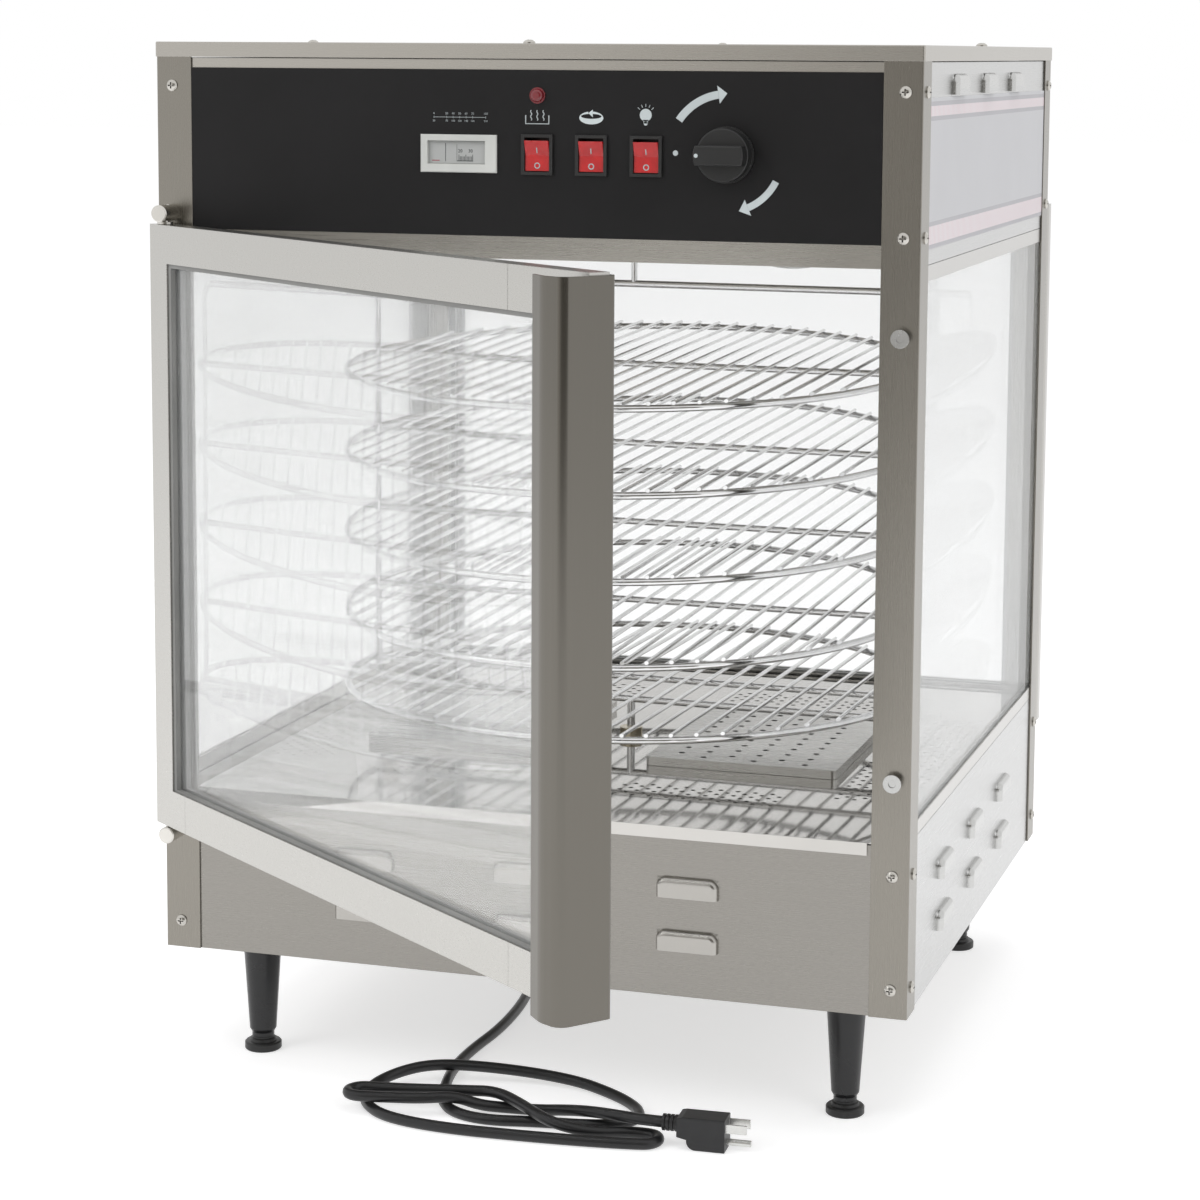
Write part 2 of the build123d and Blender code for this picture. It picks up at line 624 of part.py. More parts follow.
with BuildPart() as hinge_pins:
    for wall in (FRONT, REAR):
        across = wall.x_dir.X * PIN_X
        out = wall.z_dir.Y * (HALF_Y + PIN_OUT)
        for low, high, washer_low, washer_high in ((612.5, 640, 628.2, 629.7), (176.5, 203, 186.85, 187.45)):
            with BuildSketch(Plane.XY.offset(low)):
                with Locations((across, out)):
                    Circle(PIN_R)
            extrude(amount=high - low)
            with BuildSketch(Plane.XY.offset(washer_low)):
                with Locations((across, out)):
                    Circle(6)
            extrude(amount=washer_high - washer_low)
hinge_pins.part.label = "hinge_pins"
export_step(hinge_pins.part, "parts/hinge_pins.step")

MAGNET_R = 6.4
MAGNET_THICK = 5.8
with BuildPart() as door_magnets:
    for wall in (FRONT, REAR):
        for height in MAGNET_HEIGHTS:
            with Locations(on_wall(wall, SCREW_FRONT_X, height, HALF_Y + MAGNET_THICK / 2)):
                Cylinder(MAGNET_R, MAGNET_THICK)
            with Locations(on_wall(wall, SCREW_FRONT_X, height, HALF_Y + MAGNET_THICK)):
                Cylinder(2.6, 2, mode=Mode.SUBTRACT)
door_magnets.part.label = "door_magnets"
export_step(door_magnets.part, "parts/door_magnets.step")


# Rack. It stands turned a little from square; its tiers lean low towards the front
TURN = math.radians(RACK_TURN)
RACK_ALONG = Vector(math.cos(TURN), math.sin(TURN), 0)
RACK_BACK = Vector(-math.sin(TURN), math.cos(TURN), 0)
RACK_UPRIGHT = Plane(origin=(0, 0, 0), x_dir=RACK_ALONG, z_dir=RACK_BACK * -1)
SPINDLE_TOP = 622.0
STUB_LOW = 213.9

with BuildPart() as rack_frame:
    with BuildLine(RACK_UPRIGHT) as half_loop:
        FilletPolyline((0, FRAME_LOW), (FRAME_X, FRAME_LOW), (FRAME_X, FRAME_HIGH), (0, FRAME_HIGH), radius=12)
    with BuildSketch(Plane(origin=half_loop.line @ 0, z_dir=half_loop.line % 0)):
        Circle(FRAME_WIRE)
    sweep()
    mirror(about=Plane(origin=(0, 0, 0), x_dir=RACK_BACK, z_dir=RACK_ALONG))
    with BuildSketch(Plane.XY.offset(FRAME_HIGH)):
        Circle(SPINDLE_R)
    extrude(amount=SPINDLE_TOP - FRAME_HIGH)
    with BuildSketch(Plane.XY.offset(STUB_LOW)):
        Circle(STUB_R)
    extrude(amount=FRAME_LOW - STUB_LOW)
rack_frame.part.label = "rack_frame"
export_step(rack_frame.part, "parts/rack_frame.step")


def tier(height, lean):
    tilt = math.radians(lean)
    normal = Vector(0, 0, 1) * math.cos(tilt) - RACK_BACK * math.sin(tilt)
    plane = Plane(origin=(0, 0, height), x_dir=RACK_ALONG, z_dir=normal)
    across = Plane(origin=plane.origin - plane.y_dir * (RING_R + 2), x_dir=plane.x_dir, z_dir=plane.y_dir)
    lift = MID_WIRE + CROSS_WIRE - 0.2
    with BuildPart() as grid:
        with BuildSketch(across):
            with Locations(*[((i - CROSS_COUNT // 2) * CROSS_PITCH, -lift) for i in range(CROSS_COUNT)]):
                Circle(CROSS_WIRE)
        extrude(amount=2 * RING_R + 4)
        with BuildSketch(plane.offset(-10)):
            Circle(RING_R + 1.2)
        extrude(amount=20, mode=Mode.INTERSECT)
        with Locations(plane.location):
            Torus(RING_R, RING_WIRE)
        with Locations(plane.location * Location((0, 0, 0), (0, 90, 0))):
            Cylinder(MID_WIRE, 2 * (FRAME_X - FRAME_WIRE - 0.1))
    return grid.part


with BuildPart() as tier_1:
    add(tier(TIER_HEIGHTS[0], TIER_LEANS[0]))
tier_1.part.label = "tier_1"
export_step(tier_1.part, "parts/tier_1.step")

with BuildPart() as tier_2:
    add(tier(TIER_HEIGHTS[1], TIER_LEANS[1]))
tier_2.part.label = "tier_2"
export_step(tier_2.part, "parts/tier_2.step")

with BuildPart() as tier_3:
    add(tier(TIER_HEIGHTS[2], TIER_LEANS[2]))
tier_3.part.label = "tier_3"
export_step(tier_3.part, "parts/tier_3.step")

with BuildPart() as tier_4:
    add(tier(TIER_HEIGHTS[3], TIER_LEANS[3]))
tier_4.part.label = "tier_4"
export_step(tier_4.part, "parts/tier_4.step")

with BuildPart() as tier_5:
    add(tier(TIER_HEIGHTS[4], TIER_LEANS[4]))
tier_5.part.label = "tier_5"
export_step(tier_5.part, "parts/tier_5.step")

with BuildPart() as pivot_bush:
    with BuildSketch(Plane.XY.offset(FLOOR_TOP + 0.1)):
        Circle(9)
    extrude(amount=7.4)
    with BuildSketch(Plane.XY.offset(FLOOR_TOP + 1.1)):
        Circle(STUB_R + RUNNING)
    extrude(amount=8, mode=Mode.SUBTRACT)
pivot_bush.part.label = "pivot_bush"
export_step(pivot_bush.part, "parts/pivot_bush.step")

# Drive: a sleeve on the spindle turns on the gearmotor's shaft
SHAFT_R = 3.0
with BuildPart() as drive_coupling:
    with BuildSketch(Plane.XY.offset(613)):
        Circle(6.5)
    extrude(amount=20)
    with BuildSketch(Plane.XY.offset(612)):
        Circle(SPINDLE_R + RUNNING)
    extrude(amount=11, mode=Mode.SUBTRACT)
    with BuildSketch(Plane.XY.offset(623)):
        Circle(SHAFT_R + RUNNING)
    extrude(amount=11, mode=Mode.SUBTRACT)
drive_coupling.part.label = "drive_coupling"
export_step(drive_coupling.part, "parts/drive_coupling.step")

with BuildPart() as gearmotor:
    with BuildSketch(Plane.XY.offset(636)):
        Rectangle(110, 30)
    extrude(amount=1.5)
    for side in (-1, 1):
        with Locations((side * 54.25, 0, (611.2 + 637.5) / 2)):
            Box(1.5, 30, 637.5 - 611.2)
        with Locations((side * 62, 0, 611.95)):
            Box(17, 30, 1.5)
    with BuildSketch(Plane.XY.offset(637.5)):
        with Locations((0, 14)):
            Circle(34)
    extrude(amount=22)
    with BuildSketch(Plane.XY.offset(659.5)):
        with Locations((0, 14)):
            Circle(29)
    extrude(amount=30)
    with BuildSketch(Plane.XY.offset(624)):
        Circle(SHAFT_R)
    extrude(amount=14)
gearmotor.part.label = "gearmotor"
export_step(gearmotor.part, "parts/gearmotor.step")


# Control fascia, let in flush between the posts
THERMO_X = -48.55
THERMO_Z = 681.55
LAMP_X = 9.4
LAMP_Z = 722.4
with BuildPart() as control_fascia:
    with BuildSketch(FRONT.offset(FASCIA_BACK)):
        with Locations((0, (FASCIA_LOW + FASCIA_HIGH) / 2)):
            Rectangle(2 * FASCIA_X, FASCIA_HIGH - FASCIA_LOW)
        with Locations(*[(x, SWITCH_Z) for x in SWITCH_X]):
            Rectangle(21.4, 26.4, mode=Mode.SUBTRACT)
        with Locations((THERMO_X, THERMO_Z)):
            Rectangle(52.4, 22.4, mode=Mode.SUBTRACT)
        with Locations((LAMP_X, LAMP_Z)):
            Circle(4.3, mode=Mode.SUBTRACT)
        with Locations((KNOB_X, KNOB_Z)):
            Circle(5.3, mode=Mode.SUBTRACT)
    extrude(amount=HALF_Y - FASCIA_BACK)
control_fascia.part.label = "control_fascia"
export_step(control_fascia.part, "parts/control_fascia.step")


def wall_block(out_low, out_high, x, z, wide, tall, mode=Mode.ADD):
    with Locations(on_wall(FRONT, x, z, (out_low + out_high) / 2)):
        Box(wide, tall, out_high - out_low, mode=mode)


def wall_disc(out_low, out_high, x, z, radius, mode=Mode.ADD):
    with Locations(on_wall(FRONT, x, z, (out_low + out_high) / 2)):
        Cylinder(radius, out_high - out_low, mode=mode)


FACE = HALF_Y + 0.05
with BuildPart() as thermometer:
    wall_block(FACE, FACE + 1.8, THERMO_X, THERMO_Z, 56.5, 26.5)
    chamfer(thermometer.faces().sort_by(Axis.Y)[0].edges(), 0.6)
    wall_block(243, FACE, THERMO_X, THERMO_Z, 52, 22)
    wall_block(FACE - 1.2, FACE + 4, THERMO_X - 1.6, THERMO_Z + 0.8, 42.7, 16.1, Mode.SUBTRACT)
thermometer.part.label = "thermometer"
export_step(thermometer.part, "parts/thermometer.step")

ROCKER_PIVOT = 262.0
ROCKER_TILT = math.radians(8)
TRUNNION_R = 1.2
with BuildPart() as switch_housings:
    for x in SWITCH_X:
        wall_block(FACE, FACE + 2, x, SWITCH_Z, 22.9, 28.1)
        wall_block(240, FACE, x, SWITCH_Z, 21, 26)
        wall_block(251, FACE + 4, x, SWITCH_Z, 18.1, 23.6, Mode.SUBTRACT)
        with Locations(Location((x, -ROCKER_PIVOT, SWITCH_Z), (0, 90, 0))):
            Cylinder(TRUNNION_R + RUNNING, 20, mode=Mode.SUBTRACT)
switch_housings.part.label = "switch_housings"
export_step(switch_housings.part, "parts/switch_housings.step")

# Rockers: a shallow V face on a round trunnion; at rest the lower end is pressed in


def rocker(x):
    outward = (0, -math.cos(ROCKER_TILT), -math.sin(ROCKER_TILT))
    with BuildPart() as key:
        with BuildSketch(Plane(origin=(x, -ROCKER_PIVOT, SWITCH_Z), x_dir=outward, z_dir=(-1, 0, 0))):
            with BuildLine():
                Polyline((-4, -8), (5.2, -10.6), (3.4, 0), (5.2, 10.6), (-4, 8), close=True)
            make_face()
        extrude(amount=8.7, both=True)
        with Locations(Location((x, -ROCKER_PIVOT, SWITCH_Z), (0, 90, 0))):
            Cylinder(TRUNNION_R, 19.8)
    return key.part


with BuildPart() as rocker_heater:
    add(rocker(SWITCH_X[0]))
rocker_heater.part.label = "rocker_heater"
export_step(rocker_heater.part, "parts/rocker_heater.step")

with BuildPart() as rocker_motor:
    add(rocker(SWITCH_X[1]))
rocker_motor.part.label = "rocker_motor"
export_step(rocker_motor.part, "parts/rocker_motor.step")

with BuildPart() as rocker_light:
    add(rocker(SWITCH_X[2]))
rocker_light.part.label = "rocker_light"
export_step(rocker_light.part, "parts/rocker_light.step")

with BuildPart() as pilot_lamp:
    wall_disc(FACE, FACE + 1.2, LAMP_X, LAMP_Z, 5.65)
    wall_disc(246, FACE, LAMP_X, LAMP_Z, 4.1)
    wall_disc(FACE + 1.2, FACE + 4.6, LAMP_X, LAMP_Z, 4.7)
    fillet(pilot_lamp.faces().sort_by(Axis.Y)[0].edges(), 2.6)
pilot_lamp.part.label = "pilot_lamp"
export_step(pilot_lamp.part, "parts/pilot_lamp.step")

with BuildPart() as thermostat:
    wall_block(236, 263.5, KNOB_X, KNOB_Z, 38, 38)
    wall_disc(263, 265.4, KNOB_X, KNOB_Z, 5)
    wall_disc(265, 285, KNOB_X, KNOB_Z, SHAFT_R)
thermostat.part.label = "thermostat"
export_step(thermostat.part, "parts/thermostat.step")

KNOB_BACK = 265.8
with BuildPart() as control_knob:
    wall_disc(KNOB_BACK, KNOB_BACK + 2.4, KNOB_X, KNOB_Z, 19.4)
    wall_disc(KNOB_BACK + 2.4, KNOB_BACK + 13, KNOB_X, KNOB_Z, 18.4)
    fillet(control_knob.faces().sort_by(Axis.Y)[0].edges(), 1.2)
    with BuildSketch(FRONT.offset(KNOB_BACK + 10)):
        with Locations((KNOB_X, KNOB_Z)):
            Circle(17.6)
            Rectangle(60, 13.4, mode=Mode.INTERSECT)
    extrude(amount=14.4)
    fillet(control_knob.faces().sort_by(Axis.Y)[0].edges(), 1.2)
    wall_disc(KNOB_BACK - 1, KNOB_BACK + 20.5, KNOB_X, KNOB_Z, SHAFT_R + RUNNING, Mode.SUBTRACT)
control_knob.part.label = "control_knob"
export_step(control_knob.part, "parts/control_knob.step")


# Cabinet lamp above a domed lens in the ceiling
with BuildPart() as cabinet_lamp:
    with Locations((LENS_X, LENS_Y, 640)):
        Sphere(15)
    with BuildSketch(Plane.XY.offset(650)):
        with Locations((LENS_X, LENS_Y)):
            Circle(13)
    extrude(amount=34)
    with Locations((LENS_X, LENS_Y, 668)):
        Box(112, 16, 1.5)
    for side in (-1, 1):
        with Locations((LENS_X + side * 55.25, LENS_Y, (611.2 + 668.75) / 2)):
            Box(1.5, 16, 668.75 - 611.2)
cabinet_lamp.part.label = "cabinet_lamp"
export_step(cabinet_lamp.part, "parts/cabinet_lamp.step")

LENS_SPHERE = 71.0
LENS_CENTRE = CEILING_LOW + SHEET + 0.1 + 60.0
LENS_RIM = CEILING_LOW + SHEET + 0.1
with BuildPart() as lamp_lens:
    with Locations((LENS_X, LENS_Y, LENS_CENTRE)):
        Sphere(LENS_SPHERE)
        Sphere(LENS_SPHERE - 2, mode=Mode.SUBTRACT)
    with BuildSketch(Plane.XY.offset(LENS_RIM + 1.8)):
        with Locations((LENS_X, LENS_Y)):
            Circle(2 * LENS_SPHERE)
    extrude(amount=3 * LENS_SPHERE, mode=Mode.SUBTRACT)
    with BuildSketch(Plane.XY.offset(LENS_RIM)):
        with Locations((LENS_X, LENS_Y)):
            Circle(LENS_R + 5)
            Circle(LENS_R - 2, mode=Mode.SUBTRACT)
    extrude(amount=1.8)
lamp_lens.part.label = "lamp_lens"
export_step(lamp_lens.part, "parts/lamp_lens.step")


# Legs: tapered tubes with a screw-in levelling foot in each
LEG_LOW = 10.6
with BuildPart() as legs:
    for x, y in LEG_SITES:
        with BuildSketch(Plane(origin=(x, y, 0), x_dir=(1, 0, 0), z_dir=(0, -1, 0))):
            with BuildLine():
                Polyline(
                    (5.1, LEG_LOW), (8.4, LEG_LOW), (8.4, 13.4), (10.1, 16.4), (14.85, 90.0), (5.1, 90.0), close=True)
            make_face()
        revolve(axis=Axis((x, y, 0), (0, 0, 1)))
legs.part.label = "legs"
export_step(legs.part, "parts/legs.step")

with BuildPart() as feet:
    for x, y in LEG_SITES:
        with BuildSketch(Plane(origin=(x, y, 0), x_dir=(1, 0, 0), z_dir=(0, -1, 0))):
            with BuildLine():
                Polyline(
                    (0, 0), (13.0, 0), (13.9, 0.9), (13.9, 5.4), (13.0, 6.3), (10.3, 6.6), (9.6, 8.6),
                    (8.2, 8.9), (8.2, 10.4), (5.0, 10.4), (5.0, 34), (0, 34), close=True)
            make_face()
        revolve(axis=Axis((x, y, 0), (0, 0, 1)))
feet.part.label = "feet"
export_step(feet.part, "parts/feet.step")


# Mains cord: a tube of straight runs joined by arcs, from the rear wall down to the floor, under the
# cabinet and into a bundle of flat loops in front of it. It rises where it crosses itself.
CORD_R = 4.0
RELIEF_END = 298.0
PLUG_Z = 15.5
PLUG_TURN = math.radians(3)
PLUG_ALONG = Vector(math.cos(PLUG_TURN), math.sin(PLUG_TURN), 0)
PLUG_START = Vector(119, -312, PLUG_Z)
CORD_ROUTE = [
    (CORD_X, RELIEF_END, CORD_Z), (-80, 336.1, 130), (-82, 373, 93.1), (-84, 373, 40.9), (-86, 336.1, 4),
    (-94, 276, 4), (-89, 206, 4), (-71, 142, 4), (-66, 84, 4), (-74, 28, 4), (-77, -21, 4),
    (-69, -69, 4), (-66, -127, 4), (-70, -179, 4), (-69, -222, 4), (-61, -262, 4), (-51, -294, 4),
    (-34, -312, 4), (-8, -318, 4), (25, -310, 4), (58, -306, 4), (79, -299, 4), (92, -285, 4),
    (90, -268, 4), (76, -251, 4), (56, -237, 4.4), (30, -226, 6), (-8, -226, 9), (-50, -237, 13.1),
    (-79, -245, 13.1), (-101, -255, 8), (-113, -277, 4), (-108, -304, 4), (-90, -327, 4), (-64, -338, 4),
    (-25, -342, 4), (16, -340, 4), (54, -337, 4), (84, -333.5, 4), (104, -330, 4), (114, -327.5, 4),
    (119, -317.5, 4), (113, -307.5, 4), (93, -308.8, 4), (72, -320, 5.4), (54, -327, 9), (36, -325, 12.8),
    (13, -305, 13.7), (-12, -286, 13.9), (-34, -289.5, 13.2), (-63, -296, 13.1), (-84, -301, 13.1),
    (-100, -303, 13.1), (-111, -305.5, 13.1), (-116, -315.5, 13.1), (-109, -325, 13.1),
    (-88, -321, 13.1), (-60, -315, 13.1), (-36.5, -305.2, 13.9), (-21.5, -296.5, 6.2), (-5, -290, 4.1),
    (19, -287.5, 4), (45, -295, 9.6), (67, -304, 13.9), (92, -309.6, 15), (106, -312.4, PLUG_Z),
    tuple(PLUG_START)]


def route_radii(route):
    points = [Vector(*point) for point in route]
    radii = []
    for before, here, after in zip(points, points[1:], points[2:]):
        turn = math.radians((here - before).get_angle(after - here))
        run = min((here - before).length, (after - here).length)
        radii.append(0.45 * run / math.tan(turn / 2))
    return radii


CORD_RADII = route_radii(CORD_ROUTE)
with BuildPart() as cord:
    with BuildLine() as cord_line:
        FilletPolyline(*CORD_ROUTE, radius=CORD_RADII)
    with BuildSketch(Plane(origin=cord_line.line @ 0, z_dir=cord_line.line % 0)):
        Circle(CORD_R)
    sweep()
cord.part.label = "cord"
export_step(cord.part, "parts/cord.step")

cord_path = cord_line.wire()
cord_length = cord_path.length
cord_samples = int(cord_length / 2)
cord_points = [tuple(cord_path @ (i / cord_samples)) for i in range(cord_samples + 1)]
near = 1e9
for i, point in enumerate(cord_points):
    for other in cord_points[i + 12:]:
        if abs(point[0] - other[0]) < 12 and abs(point[1] - other[1]) < 12:
            near = min(near, math.dist(point, other))
print("cord length", round(cord_length, 1), "least self-gap", round(near - 2 * CORD_R, 2))
print("cord volume over section times length", round(cord.part.volume / (math.pi * CORD_R**2 * cord_length), 4))
print("cord radii", [round(radius, 1) for radius in CORD_RADII])

# Strain relief in the rear wall
with BuildPart() as strain_relief:
    with BuildSketch(REAR.offset(250)):
        with Locations((-CORD_X, CORD_Z)):
            Circle(CORD_HOLE - 0.2)
    extrude(amount=16)
    with BuildSketch(REAR.offset(HALF_Y - 1.2)):
        with Locations((-CORD_X, CORD_Z)):
            Circle(9.5)
    extrude(amount=3)
    with BuildSketch(REAR.offset(HALF_Y + 1.8)):
        with Locations((-CORD_X, CORD_Z)):
            Circle(7.6)
    extrude(amount=RELIEF_END - HALF_Y - 1.8, taper=4.6)
strain_relief.part.label = "strain_relief"
export_step(strain_relief.part, "parts/strain_relief.step")

# Plug: ribbed neck, body with a lower step for the earth pin, two flat blades and a round pin
RELIEF_LENGTH = 12.0
PLUG_BODY = 34.0
PLUG_HALF = 10.0
PLUG_TOP = 23.3
PLUG_BOTTOM = 0.5
BLADE_Z = 17.0
EARTH_Z = 5.4
PLUG_SIDE = Plane(
    origin=PLUG_START - Vector(0, 0, PLUG_Z), x_dir=PLUG_ALONG,
    z_dir=Vector(PLUG_ALONG.Y, -PLUG_ALONG.X, 0))
PLUG_AXIS = Plane(origin=PLUG_START, x_dir=(0, 0, 1), z_dir=PLUG_ALONG)
body_end = RELIEF_LENGTH + PLUG_BODY
with BuildPart() as plug:
    with BuildSketch(PLUG_SIDE):
        with BuildLine():
            Polyline((RELIEF_LENGTH, PLUG_TOP - 1), (RELIEF_LENGTH + 4, PLUG_TOP), (body_end, PLUG_TOP))
            Polyline((body_end, PLUG_TOP), (body_end, PLUG_BOTTOM), (RELIEF_LENGTH + 13, PLUG_BOTTOM))
            ThreePointArc(
                (RELIEF_LENGTH + 13, PLUG_BOTTOM), (RELIEF_LENGTH + 8.6, PLUG_BOTTOM + 2),
                (RELIEF_LENGTH + 7, PLUG_BOTTOM + 7))
            Polyline((RELIEF_LENGTH + 7, PLUG_BOTTOM + 7), (RELIEF_LENGTH, 9), (RELIEF_LENGTH, PLUG_TOP - 1))
        make_face()
    extrude(amount=PLUG_HALF, both=True)
    long_edges = [edge for edge in plug.edges() if abs((edge % 0.5).dot(PLUG_ALONG)) > 0.999]
    fillet([edge for edge in long_edges if edge.center().Z > PLUG_TOP - 0.1], 1.2)
    with BuildSketch(PLUG_AXIS):
        Circle(4.8)
    extrude(amount=RELIEF_LENGTH + 1)
    for step in range(4):
        with BuildSketch(PLUG_AXIS.offset(0.4 + 3 * step)):
            Circle(5.9)
        extrude(amount=1.8)
    for side in (-1, 1):
        with Locations(PLUG_SIDE.location * Location((body_end + 7, BLADE_Z, side * 6.35))):
            Box(16, 6.35, 1.5)
    with Locations(PLUG_SIDE.location * Location((body_end + 8, EARTH_Z, 0), (0, 90, 0))):
        Cylinder(2.4, 18)
plug.part.label = "plug"
export_step(plug.part, "parts/plug.step")
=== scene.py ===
import math

import bmesh
import bpy
from mathutils import Matrix, Vector


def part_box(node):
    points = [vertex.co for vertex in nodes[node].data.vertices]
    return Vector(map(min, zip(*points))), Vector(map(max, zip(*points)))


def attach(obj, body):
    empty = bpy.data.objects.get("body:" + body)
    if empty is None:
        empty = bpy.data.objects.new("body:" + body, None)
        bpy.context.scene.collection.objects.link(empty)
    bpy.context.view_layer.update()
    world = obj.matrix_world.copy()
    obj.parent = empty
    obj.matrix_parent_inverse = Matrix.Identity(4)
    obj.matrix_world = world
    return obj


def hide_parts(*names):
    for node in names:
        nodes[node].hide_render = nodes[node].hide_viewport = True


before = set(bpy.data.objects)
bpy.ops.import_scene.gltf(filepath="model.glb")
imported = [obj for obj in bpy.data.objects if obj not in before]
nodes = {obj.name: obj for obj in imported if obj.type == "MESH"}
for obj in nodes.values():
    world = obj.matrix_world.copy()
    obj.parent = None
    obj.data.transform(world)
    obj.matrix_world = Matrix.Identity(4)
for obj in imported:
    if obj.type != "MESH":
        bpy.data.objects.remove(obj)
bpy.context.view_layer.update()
print("frame loaded:", len(nodes), "CAD nodes")

# Camera: standing, a little to the right of the cabinet, looking slightly down

cameraLook = {
    "place": (0.68071, -2.25331, 0.75288),
    "yaw": -0.30452,
    "pitch": -0.12157,
    "roll": 0.00561,
    "lens": 90.502,
    "sensor": 36,
    "shift": 0.15,
    "clip": (0.05, 80),
}


def aimCamera(look):
    data = bpy.data.cameras.new("studioCamera")
    data.sensor_width = look["sensor"]
    data.lens = look["lens"]
    data.shift_y = -look["shift"]
    data.clip_start, data.clip_end = look["clip"]
    camera = bpy.data.objects.new("studioCamera", data)
    bpy.context.scene.collection.objects.link(camera)
    turn = Matrix.Rotation(-look["yaw"], 4, "Z") @ Matrix.Rotation(math.pi / 2 + look["pitch"], 4, "X")
    camera.matrix_world = Matrix.Translation(look["place"]) @ turn @ Matrix.Rotation(look["roll"], 4, "Z")
    bpy.context.scene.camera = camera


aimCamera(cameraLook)
print("camera placed")

# Mesh and piece helpers

inkThick = 0.00012
upright = Matrix.Rotation(math.pi / 2, 4, "X")


def millimetres(*values):
    return tuple(v / 1000 for v in values)


def placed(name, data):
    thing = bpy.data.objects.new(name, data)
    bpy.context.scene.collection.objects.link(thing)
    return thing


def meshFrom(name, bm, material):
    mesh = bpy.data.meshes.new(name)
    bm.to_mesh(mesh)
    bm.free()
    mesh.materials.append(material)
    return mesh


def pieceFrom(name, bm, material, body):
    mesh = meshFrom(name, bm, material)
    mesh.polygons.foreach_set("use_smooth", [False] * len(mesh.polygons))
    piece = placed(name, mesh)
    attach(piece, body)


def joinMesh(bm, mesh, place):
    mesh.transform(place)
    bm.from_mesh(mesh)
    bpy.data.meshes.remove(mesh)


def joinPart(bm, part, place):
    mesh = bpy.data.meshes.new("part")
    part.to_mesh(mesh)
    part.free()
    joinMesh(bm, mesh, place)


def joinCurve(bm, data, place):
    holder = placed("path", data)
    bpy.context.view_layer.update()
    mesh = bpy.data.meshes.new_from_object(holder)
    bpy.data.objects.remove(holder)
    joinMesh(bm, mesh, place)


def strokes(bm, splines, width, thick=inkThick, closed=False):
    data = bpy.data.curves.new("inkPath", "CURVE")
    data.dimensions = "3D"
    data.bevel_depth = width / 2
    data.bevel_resolution = 2
    data.use_fill_caps = True
    for points in splines:
        spline = data.splines.new("POLY")
        spline.points.add(len(points) - 1)
        for knot, point in zip(spline.points, points):
            knot.co = (*point, 1)
        spline.use_cyclic_u = closed
    joinCurve(bm, data, Matrix.Diagonal((1, thick / width, 1, 1)))


def textMesh(bm, words, x, z, size):
    data = bpy.data.curves.new("digits", "FONT")
    data.body = words
    data.size = size
    data.align_x = "CENTER"
    data.align_y = "CENTER"
    data.extrude = inkThick / 2
    data.resolution_u = 2
    joinCurve(bm, data, Matrix.Translation((x, 0, z)) @ upright)


def flatFace(bm, corners, thick=inkThick):
    face = bm.faces.new([bm.verts.new((x, 0, z)) for x, z in corners])
    grown = bmesh.ops.extrude_face_region(bm, geom=[face])
    moved = [v for v in grown["geom"] if isinstance(v, bmesh.types.BMVert)]
    bmesh.ops.translate(bm, vec=(0, -thick / 2, 0), verts=moved)


def flatDisc(bm, x, z, radius, thick=inkThick):
    bmesh.ops.create_cone(bm, cap_ends=True, segments=32, radius1=radius, radius2=radius, depth=thick,
                          matrix=Matrix.Translation((x, 0, z)) @ upright)


def settle(bm, y):
    bmesh.ops.recalc_face_normals(bm, faces=bm.faces)
    bmesh.ops.translate(bm, vec=(0, y, 0), verts=bm.verts)
    return bm


# Material helpers


